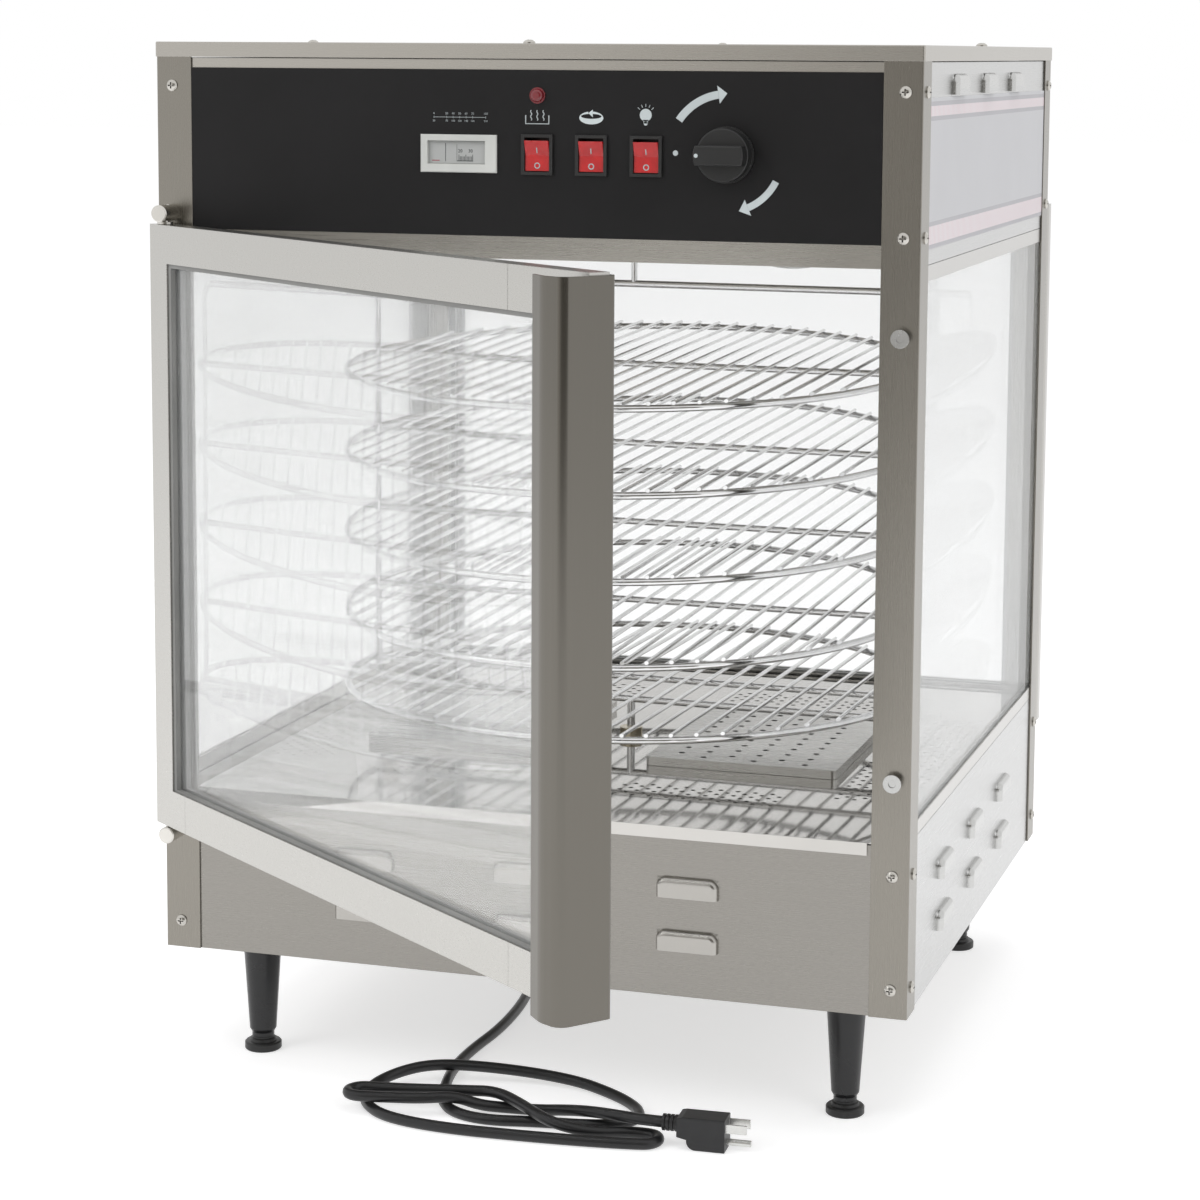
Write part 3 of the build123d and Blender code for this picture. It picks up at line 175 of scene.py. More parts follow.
class Finish:
    def __init__(self, name):
        self.material = bpy.data.materials.new(name)
        self.material.use_nodes = True
        self.tree = self.material.node_tree
        self.shader = self.tree.nodes["Principled BSDF"]
        self.coords = self.add("ShaderNodeTexCoord").outputs["Object"]

    def add(self, kind, **values):
        node = self.tree.nodes.new(kind)
        for key, value in values.items():
            setattr(node, key, value)
        return node

    def link(self, source, target):
        self.tree.links.new(source, target)

    def feed(self, socketName, source):
        self.link(source, self.shader.inputs[socketName])

    def setValues(self, values):
        for socketName, value in values.items():
            self.shader.inputs[socketName].default_value = value

    def split(self):
        node = self.add("ShaderNodeSeparateXYZ")
        self.link(self.coords, node.inputs["Vector"])
        return node.outputs

    def noise(self, scale, detail=3, rough=0.5, stretch=(1, 1, 1)):
        mapping = self.add("ShaderNodeMapping")
        mapping.inputs["Scale"].default_value = stretch
        self.link(self.coords, mapping.inputs["Vector"])
        node = self.add("ShaderNodeTexNoise")
        node.inputs["Scale"].default_value = scale
        node.inputs["Detail"].default_value = detail
        node.inputs["Roughness"].default_value = rough
        self.link(mapping.outputs["Vector"], node.inputs["Vector"])
        return node.outputs["Fac"]

    def ramp(self, value, stops):
        node = self.add("ShaderNodeValToRGB")
        ends = node.color_ramp.elements
        ends[0].position, ends[0].color = stops[0][0], (*stops[0][1], 1)
        ends[1].position, ends[1].color = stops[-1][0], (*stops[-1][1], 1)
        for place, colour in stops[1:-1]:
            ends.new(place).color = (*colour, 1)
        self.link(value, node.inputs["Fac"])
        return node.outputs["Color"]

    def spread(self, value, low, high, start=0.0, end=1.0):
        node = self.add("ShaderNodeMapRange")
        node.inputs["From Min"].default_value = start
        node.inputs["From Max"].default_value = end
        node.inputs["To Min"].default_value = low
        node.inputs["To Max"].default_value = high
        self.link(value, node.inputs["Value"])
        return node.outputs["Result"]

    def math(self, operation, *values):
        node = self.add("ShaderNodeMath", operation=operation)
        for socket, value in zip(node.inputs, values):
            if isinstance(value, (int, float)):
                socket.default_value = value
            else:
                self.link(value, socket)
        return node.outputs["Value"]

    def mix(self, factor, first, second):
        node = self.add("ShaderNodeMix", data_type="RGBA")
        self.link(factor, node.inputs["Factor"])
        for socket, value in ((node.inputs[6], first), (node.inputs[7], second)):
            if isinstance(value, tuple):
                socket.default_value = (*value, 1)
            else:
                self.link(value, socket)
        return node.outputs[2]

    def bump(self, height, strength, distance, radius=0):
        node = self.add("ShaderNodeBump")
        node.inputs["Strength"].default_value = strength
        node.inputs["Distance"].default_value = distance
        self.link(height, node.inputs["Height"])
        if radius:
            edge = self.add("ShaderNodeBevel", samples=3)
            edge.inputs["Radius"].default_value = radius
            self.link(edge.outputs["Normal"], node.inputs["Normal"])
        self.feed("Normal", node.outputs["Normal"])


steelLook = {
    "colour": (0.46, 0.44, 0.405),
    "streak": 0.022,
    "rough": (0.24, 0.36),
    "grain": (1.0, 6, 0.62),
    "cloud": 5.5,
    "cloudShare": 0.35,
    "bump": (0.035, 0.0001),
    "edge": 0.0006,
}
plainEdge = {**steelLook, "edge": 0}
grainWays = {
    "alongX": (14, 900, 2400),
    "alongY": (900, 14, 2400),
    "alongZ": (2400, 2400, 14),
}


def brushedSteel(name, way, colour=steelLook["colour"], rough=steelLook["rough"], look=steelLook):
    finish = Finish(name)
    base = Vector(colour)
    grain = finish.noise(*look["grain"], grainWays[way])
    both = finish.math("MULTIPLY_ADD", finish.noise(look["cloud"]), look["cloudShare"], grain)
    finish.feed("Base Color", finish.ramp(both, (
        (0.35, tuple(base * (1 - look["streak"]))), (0.68, tuple(base)),
        (1.0, tuple(min(1, v * (1 + look["streak"] * 0.6)) for v in base)))))
    finish.feed("Roughness", finish.spread(both, rough[1], rough[0]))
    finish.setValues({"Metallic": 1.0})
    finish.bump(grain, *look["bump"], look["edge"])
    return finish.material


# Painted shade: the near-black colour given to recesses that ambient occlusion finds, such as the screws'
# cross recesses
paintedRecessShade = {"open": 0.62, "colour": (0.05, 0.045, 0.04)}


def polishedMetal(name, colour, rough, cloudScale=60, edge=0.0004, recess=0):
    finish = Finish(name)
    cloud = finish.noise(cloudScale, 4, 0.55)
    base = Vector(colour)
    shade = finish.ramp(cloud, ((0.3, tuple(base * 0.9)), (0.7, tuple(base))))
    # Painted shade: where ambient occlusion finds a recess, the base colour turns to the painted shade colour
    if recess:
        recessShadeProbe = finish.add("ShaderNodeAmbientOcclusion", samples=6, only_local=True)
        recessShadeProbe.inputs["Distance"].default_value = recess
        lit = finish.math("GREATER_THAN", recessShadeProbe.outputs["AO"], paintedRecessShade["open"])
        shade = finish.mix(finish.spread(lit, 0.0, 1.0), paintedRecessShade["colour"], shade)
    finish.feed("Base Color", shade)
    finish.feed("Roughness", finish.spread(cloud, *rough))
    finish.setValues({"Metallic": 1.0})
    finish.bump(cloud, 0.03, 0.0001, edge)
    return finish.material


def mouldedPlastic(name, colour, rough, specular=0.5, scale=900, strength=0.12, edge=0.0005):
    finish = Finish(name)
    cloud = finish.noise(18)
    base = Vector(colour)
    finish.feed("Base Color", finish.ramp(cloud, ((0.3, tuple(base * 0.86)), (0.72, tuple(base * 1.08)))))
    finish.feed("Roughness", finish.spread(cloud, *rough))
    finish.setValues({"Specular IOR Level": specular})
    finish.bump(finish.noise(scale, 3, 0.6), strength, 0.00015, edge)
    return finish.material


def paneGlass(name, tint, haze, veil, cover):
    finish = Finish(name)
    smear = finish.noise(7, 3, 0.6, (1, 1, 0.4))
    pale = tuple(min(1, v * 1.02) for v in tint)
    finish.feed("Base Color", finish.ramp(smear, ((0.3, tint), (0.75, pale))))
    finish.feed("Roughness", finish.spread(smear, 0.0, haze))
    finish.setValues({"Transmission Weight": 1 - veil, "IOR": 1.45, "Alpha": cover,
                      "Specular IOR Level": 0.5})
    return finish.material


# Red plastic with a painted glow: the red emission makes the rocker keys and the pilot lamp glow faintly,
# though they are off
def redPlasticPaintedGlow(name, deep, light, glow, coat):
    finish = Finish(name)
    cloud = finish.noise(160)
    finish.feed("Base Color", finish.ramp(cloud, ((0.3, deep), (0.7, light))))
    finish.feed("Roughness", finish.spread(cloud, 0.12, 0.26))
    finish.setValues({"Coat Weight": coat, "Coat Roughness": 0.08, "Emission Color": (0.8, 0.02, 0.02, 1),
                      "Emission Strength": glow})
    return finish.material


# Sign panel: plain centre between two bands of fine stripes, each with a grey border; no wording

signLook = {
    "lowBand": (0.6205, 0.639),
    "highBand": (0.7075, 0.7205),
    "border": 0.003,
    "pitch": 0.0046,
    "centre": (0.63, 0.63, 0.655),
    "grey": (0.47, 0.46, 0.49),
    "pale": (0.86, 0.84, 0.86),
    "rose": (0.83, 0.64, 0.68),
}


def printedSign(name, look):
    finish = Finish(name)
    place = finish.split()

    def between(low, high):
        above = finish.math("GREATER_THAN", place["Z"], low)
        return finish.math("MULTIPLY", above, finish.math("LESS_THAN", place["Z"], high))

    wave = finish.math("SINE", finish.math("MULTIPLY", place["Y"], 2 * math.pi / look["pitch"]))
    stripe = finish.mix(finish.math("GREATER_THAN", wave, 0.1), look["pale"], look["rose"])
    cloud = finish.noise(9)
    centre = Vector(look["centre"])
    colour = finish.ramp(cloud, ((0.3, tuple(centre * 0.95)), (0.7, tuple(centre * 1.03))))
    for low, high in (look["lowBand"], look["highBand"]):
        colour = finish.mix(between(low, high), colour, look["grey"])
        colour = finish.mix(between(low + look["border"], high - look["border"]), colour, stripe)
    finish.feed("Base Color", colour)
    finish.feed("Roughness", finish.spread(cloud, 0.3, 0.42))
    finish.bump(finish.noise(500), 0.05, 0.0001)
    return finish.material


# Plug: rubbery body and neck, with plain metal past the body's end

plugLook = {
    "start": (0.119, -0.312, 0.0155),
    "heading": math.radians(3),
    "bodyEnd": 0.0461,
    "rubber": (0.018, 0.018, 0.019),
    "metal": (0.72, 0.72, 0.70),
    "rough": (0.34, 0.46),
    "metalSmoother": -0.16,
}


def plugFinish(name, look):
    finish = Finish(name)
    shifted = finish.add("ShaderNodeVectorMath", operation="SUBTRACT")
    finish.link(finish.coords, shifted.inputs[0])
    shifted.inputs[1].default_value = look["start"]
    reach = finish.add("ShaderNodeVectorMath", operation="DOT_PRODUCT")
    finish.link(shifted.outputs["Vector"], reach.inputs[0])
    reach.inputs[1].default_value = (math.cos(look["heading"]), math.sin(look["heading"]), 0)
    blade = finish.math("GREATER_THAN", reach.outputs["Value"], look["bodyEnd"])
    cloud = finish.noise(90)
    rubber, metal = Vector(look["rubber"]), Vector(look["metal"])
    dark = finish.ramp(cloud, ((0.3, tuple(rubber * 0.8)), (0.7, tuple(rubber * 1.25))))
    bright = finish.ramp(cloud, ((0.3, tuple(metal * 0.9)), (0.7, tuple(metal))))
    finish.feed("Base Color", finish.mix(blade, dark, bright))
    finish.feed("Metallic", blade)
    rough = finish.spread(cloud, *look["rough"])
    finish.feed("Roughness", finish.math("MULTIPLY_ADD", blade, look["metalSmoother"], rough))
    finish.bump(cloud, 0.06, 0.0002, 0.0006)
    return finish.material


materials = {
    # The brushed steel parts are lit and shaded copies of one stainless steel: their tones are painted light
    # and shade, lighter on the side walls and side hoods, darker on the base walls, posts and door handles
    "steelX": brushedSteel("steelGrainAcross", "alongX"),
    "steelY": brushedSteel("steelGrainSide", "alongY", (0.55, 0.55, 0.545)),
    "baseFront": brushedSteel("steelBaseFront", "alongX", (0.29, 0.277, 0.255)),
    "steelZ": brushedSteel("steelGrainUpright", "alongZ", (0.27, 0.254, 0.225)),
    "doorRail": brushedSteel("steelDoorRail", "alongX", (0.52, 0.51, 0.485)),
    "handle": brushedSteel("steelDoorHandle", "alongZ", (0.16, 0.15, 0.132), (0.16, 0.26)),
    "floor": polishedMetal("steelFloorBright", (0.56, 0.545, 0.52), (0.02, 0.06), 9),
    "hood": brushedSteel("steelHood", "alongX", (0.42, 0.405, 0.38), (0.2, 0.28), plainEdge),
    "hoodSide": brushedSteel("steelHoodSide", "alongY", (0.56, 0.56, 0.55), (0.24, 0.32), plainEdge),
    "pan": brushedSteel("steelPan", "alongX", (0.56, 0.55, 0.53)),
    "chrome": polishedMetal("chromedWire", (0.80, 0.80, 0.80), (0.06, 0.16)),
    "polished": polishedMetal("polishedSteel", (0.70, 0.68, 0.64), (0.14, 0.3)),
    # Screws: painted shade fills their cross recesses
    "screw": polishedMetal("screwSteel", (0.58, 0.56, 0.52), (0.16, 0.3), 200, 0.0002, 0.0014),
    "element": polishedMetal("elementSheath", (0.22, 0.20, 0.18), (0.3, 0.5)),
    "motor": polishedMetal("motorCasing", (0.42, 0.42, 0.43), (0.3, 0.45)),
    "brass": polishedMetal("bushMetal", (0.58, 0.52, 0.40), (0.18, 0.3)),
    "magnet": polishedMetal("magnetCap", (0.55, 0.55, 0.54), (0.2, 0.32)),
    "fascia": mouldedPlastic("fasciaSatin", (0.013, 0.0125, 0.013), (0.42, 0.52), 0.22, 1400, 0.05),
    "black": mouldedPlastic("blackPlastic", (0.022, 0.022, 0.022), (0.34, 0.46), 0.45),
    "leg": mouldedPlastic("legSatin", (0.013, 0.013, 0.014), (0.22, 0.34), 0.5, 700, 0.06),
    "cordRubber": mouldedPlastic("cordRubber", (0.014, 0.014, 0.015), (0.28, 0.4), 0.5, 500, 0.08),
    "rubber": mouldedPlastic("greyRubber", (0.30, 0.30, 0.29), (0.5, 0.62), 0.3),
    "meter": mouldedPlastic("meterCase", (0.70, 0.71, 0.68), (0.16, 0.26), 0.5, 300, 0.03),
    "card": mouldedPlastic("meterCard", (0.52, 0.53, 0.52), (0.4, 0.5), 0.4, 300, 0.03),
    "ink": mouldedPlastic("whiteInk", (0.66, 0.72, 0.73), (0.45, 0.55), 0.3, 900, 0.03),
    "darkInk": mouldedPlastic("greyInk", (0.10, 0.11, 0.11), (0.45, 0.55), 0.3, 900, 0.03),
    "redInk": mouldedPlastic("redInk", (0.60, 0.16, 0.20), (0.45, 0.55), 0.3, 900, 0.03),
    "frosted": mouldedPlastic("frostedLens", (0.80, 0.80, 0.77), (0.3, 0.42), 0.5),
    # Painted glow on the rocker keys and on the unlit pilot lamp
    "red": redPlasticPaintedGlow("redKeysPaintedGlow", (0.44, 0.004, 0.006), (0.56, 0.008, 0.010), 0.05, 0.3),
    "pilot": redPlasticPaintedGlow("pilotRed", (0.13, 0.003, 0.008), (0.2, 0.005, 0.014), 0.02, 0.8),
    "doorGlass": paneGlass("doorPane", (0.95, 0.965, 0.96), 0.003, 0.3, 0.34),
    "sideGlass": paneGlass("sidePane", (0.96, 0.975, 0.975), 0.003, 0.4, 0.45),
    "sign": printedSign("signPrint", signLook),
    "plug": plugFinish("plugMoulding", plugLook),
}

nodeFinish = {
    "steelX": ("header_front", "header_rear", "lid", "ceiling_plate"),
    "baseFront": ("base_front", "base_rear", "bottom_plate"),
    "pan": ("tray_covers", "water_pans", "glass_channels"),
    "steelY": ("header_side_left", "header_side_right", "base_side_left", "base_side_right"),
    "steelZ": ("post_front_left", "post_front_right", "post_rear_left", "post_rear_right"),
    "doorRail": ("front_door_frame", "rear_door_frame"),
    "handle": ("front_door_handle", "rear_door_handle"),
    "floor": ("floor_pan",),
    "chrome": ("rack_frame", "tier_1", "tier_2", "tier_3", "tier_4", "tier_5"),
    "polished": ("hinge_pins", "hinge_studs", "drive_coupling"),
    "screw": ("screws",),
    "element": ("heating_element",),
    "motor": ("gearmotor", "thermostat"),
    "brass": ("pivot_bush",),
    "magnet": ("door_magnets",),
    "fascia": ("control_fascia",),
    "black": ("switch_housings", "control_knob", "strain_relief", "feet"),
    "leg": ("legs",),
    "cordRubber": ("cord",),
    "rubber": ("front_door_gasket", "rear_door_gasket"),
    "meter": ("thermometer",),
    "frosted": ("lamp_lens", "cabinet_lamp"),
    "red": ("rocker_heater", "rocker_motor", "rocker_light"),
    "pilot": ("pilot_lamp",),
    "doorGlass": ("front_door_glass", "rear_door_glass"),
    "sideGlass": ("side_glass_left", "side_glass_right"),
    "sign": ("sign_panels",),
    "plug": ("plug",),
}
for finishName, names in nodeFinish.items():
    for nodeName in names:
        data = nodes[nodeName].data
        data.materials.clear()
        data.materials.append(materials[finishName])
dressed = {n for names in nodeFinish.values() for n in names}
print("materials made; nodes without one:", sorted(set(nodes) - dressed))

# Mains cord: out of the rear base, down, under the cabinet and in loose loops before it

cordRun = {
    "diameter": 0.008,
    "length": 2.0,
    "route": (
        (-80, 298, 130), (-80, 336.1, 130), (-82, 373, 93.1), (-84, 373, 40.9), (-86, 336.1, 4),
        (-94, 276, 4), (-89, 206, 4), (-71, 142, 4), (-66, 84, 4), (-74, 28, 4), (-77, -21, 4),
        (-69, -69, 4), (-66, -127, 4), (-70, -179, 4), (-69, -222, 4), (-61, -262, 4), (-51, -294, 4),
        (-34, -312, 4), (-8, -318, 4), (25, -310, 4), (58, -306, 4), (79, -299, 4), (92, -285, 4),
        (90, -268, 4), (76, -251, 4), (56, -237, 4.4), (30, -226, 6), (-8, -226, 9), (-50, -237, 13.1),
        (-79, -245, 13.1), (-101, -255, 8), (-113, -277, 4), (-108, -304, 4), (-90, -327, 4), (-64, -338, 4),
        (-25, -342, 4), (16, -340, 4), (54, -337, 4), (84, -333.5, 4), (104, -330, 4), (114, -327.5, 4),
        (119, -317.5, 4), (113, -307.5, 4), (93, -308.8, 4), (72, -320, 5.4), (54, -327, 9), (36, -325, 12.8),
        (13, -305, 13.7), (-12, -286, 13.9), (-34, -289.5, 13.2), (-63, -296, 13.1), (-84, -301, 13.1),
        (-100, -303, 13.1), (-111, -305.5, 13.1), (-116, -315.5, 13.1), (-109, -325, 13.1),
        (-88, -321, 13.1), (-60, -315, 13.1), (-36.5, -305.2, 13.9), (-21.5, -296.5, 6.2), (-5, -290, 4.1),
        (19, -287.5, 4), (45, -295, 9.6), (67, -304, 13.9), (92, -309.6, 15), (106, -312.4, 15.5),
        (119, -312, 15.5)),
}


def layCord(run):
    data = bpy.data.curves.new("mainsCord", "CURVE")
    data.dimensions = "3D"
    data.bevel_depth = run["diameter"] / 2
    data.bevel_resolution = 4
    data.resolution_u = 10
    data.use_fill_caps = True
    spline = data.splines.new("NURBS")
    spline.points.add(len(run["route"]) - 1)
    for knot, point in zip(spline.points, run["route"]):
        knot.co = (*millimetres(*point), 1)
    spline.order_u = 3
    spline.use_endpoint_u = True
    data.materials.append(materials["cordRubber"])
    piece = placed("mainsCord", data)
    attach(piece, "cabinet")
    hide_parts("cord")


layCord(cordRun)
print("cord laid")

# Louvre hoods: rounded pressings over the vents, with their mouths downwards

hoodLook = {
    "length": 0.0452,
    "height": 0.0144,
    "cornerRound": 0.0065,
    "brow": 0.0042,
    "roundSteps": 8,
    "sheet": 0.0008,
    "frontReach": 0.00515,
    "sideReach": 0.00499,
    "solidReach": 0.005,
    "frontAcross": (-0.122, 0, 0.122),
    "frontUp": (0.1695, 0.131),
    "sideAcross": (-0.1335, -0.014, 0.1055),
    "sideUp": (0.1685, 0.130),
    "headerAcross": (-0.135, -0.020, 0.094),
    "headerUp": 0.7315,
    "headerRearUp": 0.700,
}


def roundEdges(part, edges, offset, look):
    bmesh.ops.bevel(part, geom=edges, offset=offset, segments=look["roundSteps"], profile=0.5, affect="EDGES",
                    material=-1)


def addHood(bm, look, reach, place):
    part = bmesh.new()
    bmesh.ops.create_cube(part, size=1, matrix=Matrix.Diagonal((look["length"], reach, look["height"], 1)))
    mouth = [f for f in part.faces if f.normal.y > 0.5 or f.normal.z < -0.5]
    bmesh.ops.delete(part, geom=mouth, context="FACES")
    shared = [e for e in part.edges if len(e.link_faces) == 2]
    corners = [e for e in shared if abs(e.verts[0].co.y - e.verts[1].co.y) > reach / 2]
    roundEdges(part, corners, look["cornerRound"], look)
    shared = [e for e in part.edges if len(e.link_faces) == 2]
    rim = [e for e in shared if all(v.co.y < -reach * 0.49 for v in e.verts)]
    roundEdges(part, rim, look["brow"], look)
    bmesh.ops.recalc_face_normals(part, faces=part.faces)
    bmesh.ops.solidify(part, geom=part.faces[:], thickness=look["sheet"])
    joinPart(bm, part, place @ Matrix.Translation((0, -reach / 2, 0)))


def hoodSet(name, look, reach, turn, wall, alongX, sites, finish):
    bm = bmesh.new()
    for across, up in sites:
        spot = (across, wall, up) if alongX else (wall, across, up)
        addHood(bm, look, reach, Matrix.Translation(spot) @ Matrix.Rotation(math.radians(turn), 4, "Z"))
    pieceFrom(name, bm, materials[finish], "cabinet")


def pressLouvres(look):
    solid = look["solidReach"]
    frontSites = [(x, z) for x in look["frontAcross"] for z in look["frontUp"]]
    rearSites = [(x, look["headerRearUp"]) for x in look["frontAcross"]]
    sideSites = [(y, z) for y in look["sideAcross"] for z in look["sideUp"]]
    headerSites = [(y, look["headerUp"]) for y in look["headerAcross"]]
    for name, turn, wall, sites in (("BaseFront", 0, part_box("base_front")[0].y + solid, frontSites),
                                    ("BaseRear", 180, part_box("base_rear")[1].y - solid, frontSites),
                                    ("HeaderRear", 180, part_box("header_rear")[1].y - solid, rearSites)):
        hoodSet("hoods" + name, look, look["frontReach"], turn, wall, True, sites, "hood")
    for end, turn, wall in (("Right", 90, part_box("base_side_right")[1].x - solid),
                            ("Left", -90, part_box("base_side_left")[0].x + solid)):
        for level, sites in (("Base", sideSites), ("Header", headerSites)):
            hoodSet("hoods" + level + end, look, look["sideReach"], turn, wall, False, sites, "hoodSide")


pressLouvres(hoodLook)
print("louvres pressed")

# White printing on the fascia

printing = {
    "face": -0.26506,
    "knob": (0.1453, 0.6835),
    "upperArrow": {"radius": 0.0412, "from": 146, "to": 99, "width": 0.0054, "head": 0.0062,
                   "spread": 0.0124},
    "lowerArrow": {"radius": 0.0386, "from": -27, "to": -67, "width": 0.0048, "head": 0.0068,
                   "spread": 0.0118},
    "tipOut": 0.0004,
    "dot": (0.1088, 0.6842, 0.0019),
    "line": 0.0009,
    "tray": ((0.0006, 0.7088), (0.0006, 0.7029), (0.0175, 0.7029), (0.0175, 0.7088)),
    "wave": {"middles": (0.0046, 0.0091, 0.0136), "swing": 0.00045, "turn": 1.05, "low": 0.7052,
             "rise": 0.00059, "steps": 13, "line": 0.00072},
    "ring": {"middle": 0.0483, "outer": (0.7074, 0.0087, 0.0044), "inner": (0.7085, 0.0074, 0.0017),
             "gapAbove": 0.709, "gapMiddle": 0.0476, "gapHalf": 0.0016,
             "head": ((0.0494, 0.7132), (0.0494, 0.7079), (0.0462, 0.7107))},
    "bulb": {"centre": (0.0874, 0.7098), "radius": 0.0043, "foot": (0.0874, 0.704, 0.0014),
             "neck": ((0.0856, 0.7065), (0.0892, 0.7065), (0.0889, 0.7041), (0.0859, 0.7041)),
             "rayAngles": (42, 66, 90, 114, 138), "rayReach": (0.0056, 0.0076), "line": 0.0005},
    "scale": {"height": 0.7068, "tick": 0.0008, "line": 0.00035, "upper": (0.7093, 0.0021),
              "lower": (0.7042, 0.0019),
              "marks": ((-0.0672, "0", "30"), (-0.0577, "20", "70"), (-0.0529, "40", "100"),
                        (-0.0481, "50", "120"), (-0.0433, "60", "140"), (-0.0385, "70", "160"),
                        (-0.0288, "100", "210"))},
}


def arcArrow(bm, centre, arrow, tipOut):
    start, end = math.radians(arrow["from"]), math.radians(arrow["to"])
    radius = arrow["radius"]

    def polar(distance, angle):
        return centre[0] + distance * math.cos(angle), centre[1] + distance * math.sin(angle)

    part = bmesh.new()
    inner, outer = (part.verts.new((reach * math.cos(start), 0, reach * math.sin(start)))
                    for reach in (radius - arrow["width"] / 2, radius + arrow["width"] / 2))
    edge = part.edges.new((inner, outer))
    bmesh.ops.spin(part, geom=[inner, outer, edge], cent=(0, 0, 0), axis=(0, -1, 0), angle=end - start,
                   steps=18)
    bmesh.ops.solidify(part, geom=part.faces[:], thickness=inkThick)
    joinPart(bm, part, Matrix.Translation((centre[0], 0, centre[1])))
    turn = 1 if end > start else -1
    half = arrow["spread"] / 2
    flatFace(bm, [polar(radius - half, end), polar(radius + half, end),
                  polar(radius + tipOut, end + turn * arrow["head"] / radius)])


def trayMark(bm, corners, line, wave):
    strokes(bm, [[(x, 0, z) for x, z in corners]], line)
    curl = [(wave["swing"] * math.sin(step * wave["turn"]), wave["low"] + wave["rise"] * step)
            for step in range(wave["steps"])]
    strokes(bm, [[(middle + x, 0, z) for x, z in curl] for middle in wave["middles"]], wave["line"])


def ringMark(bm, ring):
    loops = []
    for height, wide, tall in (ring["outer"], ring["inner"]):
        place = Matrix.Translation((ring["middle"], 0, height)) @ Matrix.Diagonal((wide, 1, tall, 1))
        loops += bmesh.ops.create_circle(bm, segments=48, radius=1, matrix=place @ upright)["verts"]
    band = bmesh.ops.bridge_loops(bm, edges=list({e for v in loops for e in v.link_edges}))["faces"]
    middles = [(f, f.calc_center_median()) for f in band]
    gap = [f for f, m in middles if m.z > ring["gapAbove"] and abs(m.x - ring["gapMiddle"]) < ring["gapHalf"]]
    bmesh.ops.delete(bm, geom=gap, context="FACES")
    flatFace(bm, ring["head"])


def bulbMark(bm, bulb):
    x, z = bulb["centre"]
    flatDisc(bm, x, z, bulb["radius"])
    flatFace(bm, bulb["neck"])
    flatDisc(bm, *bulb["foot"])
    ways = [(math.cos(math.radians(angle)), math.sin(math.radians(angle))) for angle in bulb["rayAngles"]]
    rays = [[(x + across * reach, 0, z + up * reach) for reach in bulb["rayReach"]] for across, up in ways]
    strokes(bm, rays, bulb["line"])


def scaleMark(bm, scale):
    height, tick = scale["height"], scale["tick"]
    places = [x for x, upper, lower in scale["marks"]]
    strokes(bm, [[(places[0], 0, height), (places[-1], 0, height)]]
            + [[(x, 0, height - tick), (x, 0, height + tick)] for x in places], scale["line"])
    for x, upper, lower in scale["marks"]:
        textMesh(bm, upper, x, *scale["upper"])
        textMesh(bm, lower, x, *scale["lower"])


def fasciaPrint(look):
    bm = bmesh.new()
    arcArrow(bm, look["knob"], look["upperArrow"], look["tipOut"])
    arcArrow(bm, look["knob"], look["lowerArrow"], look["tipOut"])
    flatDisc(bm, *look["dot"])
    trayMark(bm, look["tray"], look["line"], look["wave"])
    ringMark(bm, look["ring"])
    bulbMark(bm, look["bulb"])
    scaleMark(bm, look["scale"])
    pieceFrom("fasciaPrinting", settle(bm, look["face"]), materials["ink"], "cabinet")


fasciaPrint(printing)
print("fascia printed")

# Thermometer: clear window over a grey card with ticks and plain numbers

meterLook = {
    "centre": (-0.05015, 0.68235),
    "floor": -0.26385,
    "cardHalf": (0.02105, 0.00775),
    "cardThick": 0.0003,
    "cardLift": 0.0001,
    "marks": (((-0.0087, -0.0062), (-0.0087, 0.0062)), ((-0.0003, -0.0060), (0.0117, -0.0060))),
    "ticks": {"start": 0.0012, "step": 0.00102, "count": 11, "foot": -0.0058, "long": -0.0016,
              "short": -0.0028},
    "markLine": 0.00042,
    "axis": ((-0.0003, -0.0062), (-0.0003, 0.0056)),
    "axisLine": 0.0002,
    "digits": (("20", 0.0022), ("30", 0.0098)),
    "digitUp": 0.0009,
    "digitSize": 0.0034,
    "markLift": 0.00032,
    "pointer": ((-0.0188, -0.0058), (-0.0132, -0.0058)),
    "pointerLine": 0.0006,
    "pointerLift": 0.00034,
    "thick": 0.0001,
}


def meterFace(look):
    x0, z0 = look["centre"]
    half, tall = look["cardHalf"]
    ticks = look["ticks"]

    def traced(paths):
        return [[(x0 + x, 0, z0 + z) for x, z in path] for path in paths]

    def meterPiece(name, bm, lift, finish):
        pieceFrom(name, settle(bm, look["floor"] - lift), materials[finish], "cabinet")

    card = bmesh.new()
    flatFace(card, [(x0 + x * half, z0 + z * tall) for x, z in ((-1, -1), (1, -1), (1, 1), (-1, 1))],
             look["cardThick"])
    meterPiece("meterCard", card, look["cardLift"], "card")
    marks = bmesh.new()
    rows = [(ticks["start"] + ticks["step"] * step, ticks["long"] if step % 5 == 0 else ticks["short"])
            for step in range(ticks["count"])]
    strokes(marks, traced(look["marks"] + tuple(((x, ticks["foot"]), (x, top)) for x, top in rows)),
            look["markLine"], look["thick"])
    strokes(marks, traced([look["axis"]]), look["axisLine"], look["thick"])
    for words, x in look["digits"]:
        textMesh(marks, words, x0 + x, z0 + look["digitUp"], look["digitSize"])
    meterPiece("meterMarks", marks, look["markLift"], "darkInk")
    pointer = bmesh.new()
    strokes(pointer, traced([look["pointer"]]), look["pointerLine"], look["thick"])
    meterPiece("meterPointer", pointer, look["pointerLift"], "redInk")


meterFace(meterLook)
print("thermometer dressed")

# Rocker marks: a bar above and a ring below on each key's sloped faces

